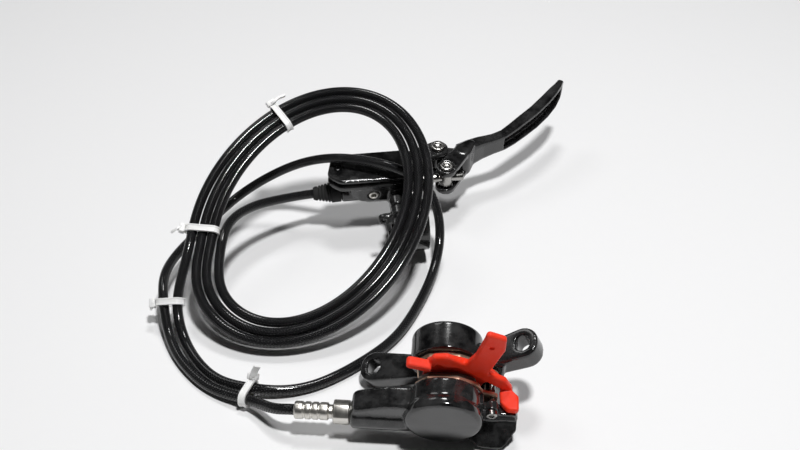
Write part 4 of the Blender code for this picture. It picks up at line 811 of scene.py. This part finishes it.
class BRAKE_OT_lever(bpy.types.Operator):
    """Lever castings, lid, clamp, blade, barrel, screws and boot"""

    bl_idname = "brake.lever"
    bl_label = "Lever"

    def execute(self, context):
        cast("lever_housing", "master_body", "gloss_black_paint")
        cast("clamp_strap", "bar_clamp", "gloss_black_paint")
        cast("blade_forging", "lever_blade", "gloss_black_paint")
        cast("lid_moulding", "reservoir_lid", "gloss_black_paint", grain=0.9, rounds=4)
        for node in ("clamp_bolt_upper", "clamp_bolt_lower", "lid_screw_1", "lid_screw_2"):
            machined(f"{node}_finished", node, "blackened_steel")
        for node in ("pivot_pin", "swivel_barrel", "reach_screw", "lever_hose_nut"):
            machined(f"{node}_finished", node, "screw_steel")
        machined("bleed_screw_finished", "lever_bleed_screw", "bright_metal")
        machined("boot_moulding", "hose_boot", "black_rubber", edge=0.0002)
        return {"FINISHED"}


# Caliper

class BRAKE_OT_caliper(bpy.types.Operator):
    """Caliper forging, cap, spacer, pads, pin and hose fitting"""

    bl_idname = "brake.caliper"
    bl_label = "Caliper"

    def execute(self, context):
        def across_slot(along, u, v):
            return caliper_at(u, along, v)

        cast("caliper_forging", "caliper_body", "gloss_black_paint", grain=1.1, rounds=10,
             shells=((across_slot, NEAR_BARREL, NEAR_BARREL_INNER),
                     (across_slot, FAR_BARREL, FAR_BARREL_INNER)))
        cast("spacer_moulding", "pad_spacer", "spacer_plastic", grain=0.7, rounds=5)
        machined("cap_turned", "bore_cap", "cap_alloy")
        machined("ferrule_crimped", "crimp_ferrule", "bright_metal")
        machined("caliper_nut_milled", "caliper_hose_nut", "bright_metal", edge=0.0003)
        machined("pin_turned", "pad_pin", "screw_steel")
        for side in ("inner", "outer"):
            machined(f"plate_{side}_pressed", f"pad_plate_{side}", "coppered_plate",
                     edge=0.0002)
            machined(f"lining_{side}_moulded", f"pad_lining_{side}", "friction_lining",
                     edge=0.0003)
            machined(f"piston_{side}_turned", f"piston_{side}", "piston_alloy")
        machined("spring_leaf", "pad_spring", "screw_steel", edge=0.0001)
        return {"FINISHED"}


# Ties

def coil_tie_place(angle):
    """Where a tie holds the coil's strands: middle, along, across, reach and room.

    Reach is from the middle to the outer strands and room is the loop's slack, both in
    millimetres.
    """
    along = coil_at(angle + 1, 0) - coil_at(angle - 1, 0)
    across = coil_at(angle, 1) - coil_at(angle, -1)
    return coil_at(angle, 0), along.normalized(), across.normalized(), LANE, 0.3


def pair_tie_place(first, second, heading):
    """The same for two strands, from a bench place on each and their heading."""
    along = Vector(heading).normalized()
    across = Vector(first) - Vector(second)
    across -= across.dot(along) * along
    return (bench((Vector(first) + Vector(second)) / 2), along, across.normalized(),
            across.length / 2, 0.7)


# For each tie: its place, the head's turn round the loop in degrees and the points of the
# cut tail along the hose, across it and up, in millimetres from the loop's middle.
TIE_PLACES = {
    "cable_tie_top": (coil_tie_place(55.0), 18.0, ((-1.6, 9.2, 2.6), (-4.6, 9.8, 2.9),
                                                   (-8.6, 9.2, 2.6))),
    "cable_tie_side": (coil_tie_place(120.0), 12.0, ((0.4, 11.0, 1.6), (1.4, 13.2, 2.0),
                                                     (2.8, 15.4, 1.2))),
    "cable_tie_lower": (pair_tie_place((-111.95, 450.0, 14.15), (-118.7, 450.25, 12.9),
                                       (0.03, -0.76, -0.65)), 172.0,
                        ((0.6, -8.6, 1.0), (1.6, -9.4, 0.6), (2.8, -9.8, -0.2))),
    "cable_tie_front": (pair_tie_place((-69.79, 398.35, 4.8), (-72.45, 391.65, 4.95),
                                       (0.94, -0.325, 0.1)), 52.0,
                        ((0.6, 5.6, 5.4), (1.6, 6.4, 8.2), (3.4, 7.0, 11.4))),
}


def strap(sections, width, thickness, closed):
    """Points and faces of a strap with raised rims; sections are (middle, side, normal)."""
    rim = width / 2 - RIM_WIDTH
    half = thickness / 2
    shape = ((-width / 2, -half), (width / 2, -half), (width / 2, half), (rim, half),
             (rim - RIM_SLOPE, half - RIM_HEIGHT), (RIM_SLOPE - rim, half - RIM_HEIGHT),
             (-rim, half), (-width / 2, half))
    corners = len(shape)
    verts = [middle + side * u + normal * v for middle, side, normal in sections
             for u, v in shape]
    faces = []
    for row in range(len(sections) if closed else len(sections) - 1):
        start = row * corners
        after = (row + 1) % len(sections) * corners
        for column in range(corners):
            beside = (column + 1) % corners
            faces.append((start + column, start + beside, after + beside, after + column))
    if not closed:
        faces += [tuple(range(corners)), tuple(range(len(verts) - corners, len(verts)))]
    return verts, faces


def tie_mesh(node):
    """Strap, head and cut tail of one tie, with loose points where its teeth go."""
    sizes = bpy.context.scene.brake_sizes
    (middle, along, across, apart, room), turn, tail = TIE_PLACES[node]
    up = along.cross(across)
    if up.z < 0:
        up = -up
    reach = (HOSE_RADIUS + room) * MM + STRAP_THICKNESS / 2

    def on_loop(degrees, out=0.0):
        """Point of the loop, or outside it, and the direction outwards there."""
        outward = (across * math.cos(math.radians(degrees)) + up
                   * math.sin(math.radians(degrees)))
        side = 1 if math.cos(math.radians(degrees)) >= 0 else -1
        return middle + across * (side * apart * MM) + outward * (reach + out), outward

    loop = []
    for step in range(36):
        point, outward = on_loop(-85 + step * 10)
        loop.append((point, along, outward))
    verts, faces = strap(loop, sizes.tie_width, STRAP_THICKNESS, True)
    head_at, outward = on_loop(turn, STRAP_THICKNESS / 2 + HEAD_LIFT)
    run = outward.cross(along)
    head = bmesh.new()
    bmesh.ops.create_cube(head, size=1.0)
    matrix = Matrix([axis * size * MM for axis, size in
                     zip((run, along, outward), HEAD_SIZE)]).transposed()
    bmesh.ops.transform(head, matrix=matrix.to_4x4(), verts=head.verts)
    bmesh.ops.translate(head, vec=head_at, verts=head.verts)
    bmesh.ops.bevel(head, geom=head.edges[:], offset=HEAD_EDGE, segments=3, affect="EDGES",
                    profile=0.5)
    head.verts.ensure_lookup_table()
    start = len(verts)
    verts += [v.co.copy() for v in head.verts]
    faces += [tuple(start + v.index for v in face.verts) for face in head.faces]
    head.free()
    points = [head_at] + [middle + along * (a * MM) + across * (c * MM) + up * (v * MM)
                          for a, c, v in tail]
    route = smooth_points(points, TAIL_SPACING)
    rows = []
    teeth = []  # One on every second point, past the head
    for index, point in enumerate(route):
        ahead = (route[min(index + 1, len(route) - 1)] - route[max(index - 1, 0)]).normalized()
        side = outward.cross(ahead).normalized()
        normal = ahead.cross(side)
        rows.append((point, side, normal))
        if index > 3 and index % 2:
            teeth.append((point + normal * (STRAP_THICKNESS / 2 - TOOTH_SINK),
                          Matrix((ahead, side, normal)).transposed().to_euler()))
    more, more_faces = strap(rows, sizes.tie_width - TAIL_NARROWING, STRAP_THICKNESS, False)
    start = len(verts)
    verts += more
    faces += [tuple(start + corner for corner in face) for face in more_faces]
    start = len(verts)
    made = from_points(f"{node}_strap", verts + [place for place, _ in teeth], faces)
    tooth = made.data.attributes.new("tooth", "BOOLEAN", "POINT")
    turned = made.data.attributes.new("turn", "FLOAT_VECTOR", "POINT")
    for index, (_, euler) in enumerate(teeth):
        tooth.data[start + index].value = True
        turned.data[start + index].vector = tuple(euler)
    return made


def teeth_tree():
    """Geometry Nodes: a small block on each tooth point, joined with the strap."""
    tree = bpy.data.node_groups.new("Strap Teeth", "GeometryNodeTree")
    face = tree.interface
    face.new_socket("Geometry", in_out="INPUT", socket_type="NodeSocketGeometry")
    face.new_socket("Tooth Width", in_out="INPUT", socket_type="NodeSocketFloat")
    face.new_socket("Finish", in_out="INPUT", socket_type="NodeSocketMaterial")
    face.new_socket("Geometry", in_out="OUTPUT", socket_type="NodeSocketGeometry")
    wires = Wires(tree)
    entry = wires.node("NodeGroupInput").outputs
    tooth = wires.node("GeometryNodeInputNamedAttribute", (("Name", "tooth"),),
                       data_type="BOOLEAN").outputs["Attribute"]
    turn = wires.node("GeometryNodeInputNamedAttribute", (("Name", "turn"),),
                      data_type="FLOAT_VECTOR").outputs["Attribute"]
    parts = wires.node("GeometryNodeSeparateGeometry", (
        ("Geometry", entry["Geometry"]), ("Selection", tooth)), domain="POINT").outputs
    size = wires.node("ShaderNodeCombineXYZ", (
        ("X", TOOTH_LENGTH), ("Y", entry["Tooth Width"]), ("Z", TOOTH_HEIGHT))).outputs[0]
    block = wires.node("GeometryNodeMeshCube", (("Size", size),)).outputs[0]
    turned = wires.node("FunctionNodeEulerToRotation", ((0, turn),)).outputs[0]
    blocks = wires.node("GeometryNodeInstanceOnPoints", (
        ("Points", parts[0]), ("Instance", block), ("Rotation", turned))).outputs[0]
    whole = wires.node("GeometryNodeJoinGeometry")
    wires.tree.links.new(parts[1], whole.inputs[0])
    wires.tree.links.new(blocks, whole.inputs[0])
    plain = wires.node("GeometryNodeRealizeInstances", ((0, whole.outputs[0]),)).outputs[0]
    plain = wires.node("GeometryNodeSetMaterial", (
        ("Geometry", plain), ("Material", entry["Finish"]))).outputs[0]
    wires.node("NodeGroupOutput", (("Geometry", plain),))
    return tree


class BRAKE_OT_ties(bpy.types.Operator):
    """Nylon cable ties with their heads, cut tails and teeth"""

    bl_idname = "brake.ties"
    bl_label = "Ties"

    def execute(self, context):
        width = context.scene.brake_sizes.tie_width - TOOTH_MARGIN
        tree = teeth_tree()
        for node in TIE_PLACES:
            blank = with_tree(tie_mesh(node), tree, **{
                "Tooth Width": width, "Finish": bpy.data.materials["tie_nylon"]})
            made = grown(f"{node}_band", blank)
            shade_by_angle(made, TIE_SHARP_ANGLE)
            stand_in(made, node)
        return {"FINISHED"}


# Hidden pieces

class BRAKE_OT_hidden(bpy.types.Operator):
    """Finishes of the pieces inside the lever and the caliper"""

    bl_idname = "brake.hidden"
    bl_label = "Inner pieces"

    def execute(self, context):
        finishes = {
            "diaphragm": "seal_rubber", "primary_seal": "seal_rubber",
            "rear_seal": "seal_rubber", "piston_seal_inner": "seal_rubber",
            "piston_seal_outer": "seal_rubber", "barb_insert": "brass",
            "pivot_bush_upper": "brass", "pivot_bush_lower": "brass",
            "master_piston": "piston_alloy", "return_spring": "screw_steel",
            "snap_ring": "screw_steel",
        }
        for node, finish in finishes.items():
            paint(frame["nodes"][node], finish)
        for node, made in frame["nodes"].items():
            if node not in finishes and not made.hide_render:
                raise RuntimeError(f"{node} has no finish")
        return {"FINISHED"}


# Stage

def area_light(name, place, aim, diameter, power):
    """A soft round lamp that points at a place."""
    lamp = bpy.data.lights.new(name, "AREA")
    lamp.shape = "DISK"
    lamp.size = diameter
    lamp.energy = power
    made = placed(name, lamp)
    made.location = place
    made.rotation_euler = (Vector(aim) - Vector(place)).to_track_quat("-Z", "Y").to_euler()


class BRAKE_OT_stage(bpy.types.Operator):
    """White table, soft lamps, world and the camera"""

    bl_idname = "brake.stage"
    bl_label = "Stage"

    def execute(self, context):
        scene = context.scene
        colours = scene.brake_colours
        reach = TABLE_REACH
        floor = from_points("floor", [(-reach, -reach, 0), (reach, -reach, 0),
                                      (reach, reach, 0), (-reach, reach, 0)], [(0, 1, 2, 3)])
        floor.data.materials.append(skin_material(
            "white_table", tuple(colours.floor), 0.55, dust=0.0, wave=0.0, scale=40.0))

        world = bpy.data.worlds.new("studio")
        scene.world = world
        world.use_nodes = True
        wires = Wires(world.node_tree)
        back = world.node_tree.nodes["Background"]
        direction = wires.node("ShaderNodeTexCoord").outputs["Generated"]
        height = wires.node("ShaderNodeSeparateXYZ", ((0, direction),)).outputs["Z"]
        level = wires.mapped(height, 0.0, 0.55, SKY_AT_HORIZON, SKY_ABOVE)
        seen = wires.node("ShaderNodeLightPath").outputs["Is Camera Ray"]
        wires.feed(back.inputs["Strength"], wires.mapped(seen, 0.0, 1.0, level, SKY_SEEN))

        for lamp in LAMPS:
            area_light(*lamp)

        camera = bpy.data.cameras.new("camera")
        camera.lens = CAMERA_LENS
        camera.sensor_width = 36.0
        camera.clip_start = 0.01
        made = placed("camera", camera)
        made.location = CAMERA_PLACE
        made.rotation_euler = (CAMERA_TILT, 0, 0)
        scene.camera = made
        scene.view_settings.view_transform = "Standard"
        return {"FINISHED"}


class BRAKE_PT_panel(bpy.types.Panel):
    """Sizes, colours and pieces of the brake"""

    bl_idname = "BRAKE_PT_panel"
    bl_label = "Disc brake"
    bl_space_type = "VIEW_3D"
    bl_region_type = "UI"
    bl_category = "Brake"

    def draw(self, context):
        for group in (context.scene.brake_sizes, context.scene.brake_colours):
            box = self.layout.box()
            for label in group.__annotations__:
                box.prop(group, label)
        for operator in OPERATORS:
            self.layout.operator(operator.bl_idname)


OPERATORS = (BRAKE_OT_stage, BRAKE_OT_hose, BRAKE_OT_lever, BRAKE_OT_caliper, BRAKE_OT_ties,
             BRAKE_OT_hidden)
CLASSES = (BrakeSizes, BrakeColours, *OPERATORS, BRAKE_PT_panel)


def register():
    """Registers the classes and the settings."""
    for item in CLASSES:
        bpy.utils.register_class(item)
    bpy.types.Scene.brake_sizes = PointerProperty(type=BrakeSizes)
    bpy.types.Scene.brake_colours = PointerProperty(type=BrakeColours)


def unregister():
    """Takes the classes and the settings away."""
    del bpy.types.Scene.brake_colours
    del bpy.types.Scene.brake_sizes
    for item in reversed(CLASSES):
        bpy.utils.unregister_class(item)


def main():
    """Builds every piece and the stage."""
    register()
    make_materials()
    bpy.ops.brake.stage()
    bpy.ops.brake.hose()
    bpy.ops.brake.lever()
    bpy.ops.brake.caliper()
    bpy.ops.brake.ties()
    bpy.ops.brake.hidden()


if __name__ == "__main__":
    main()
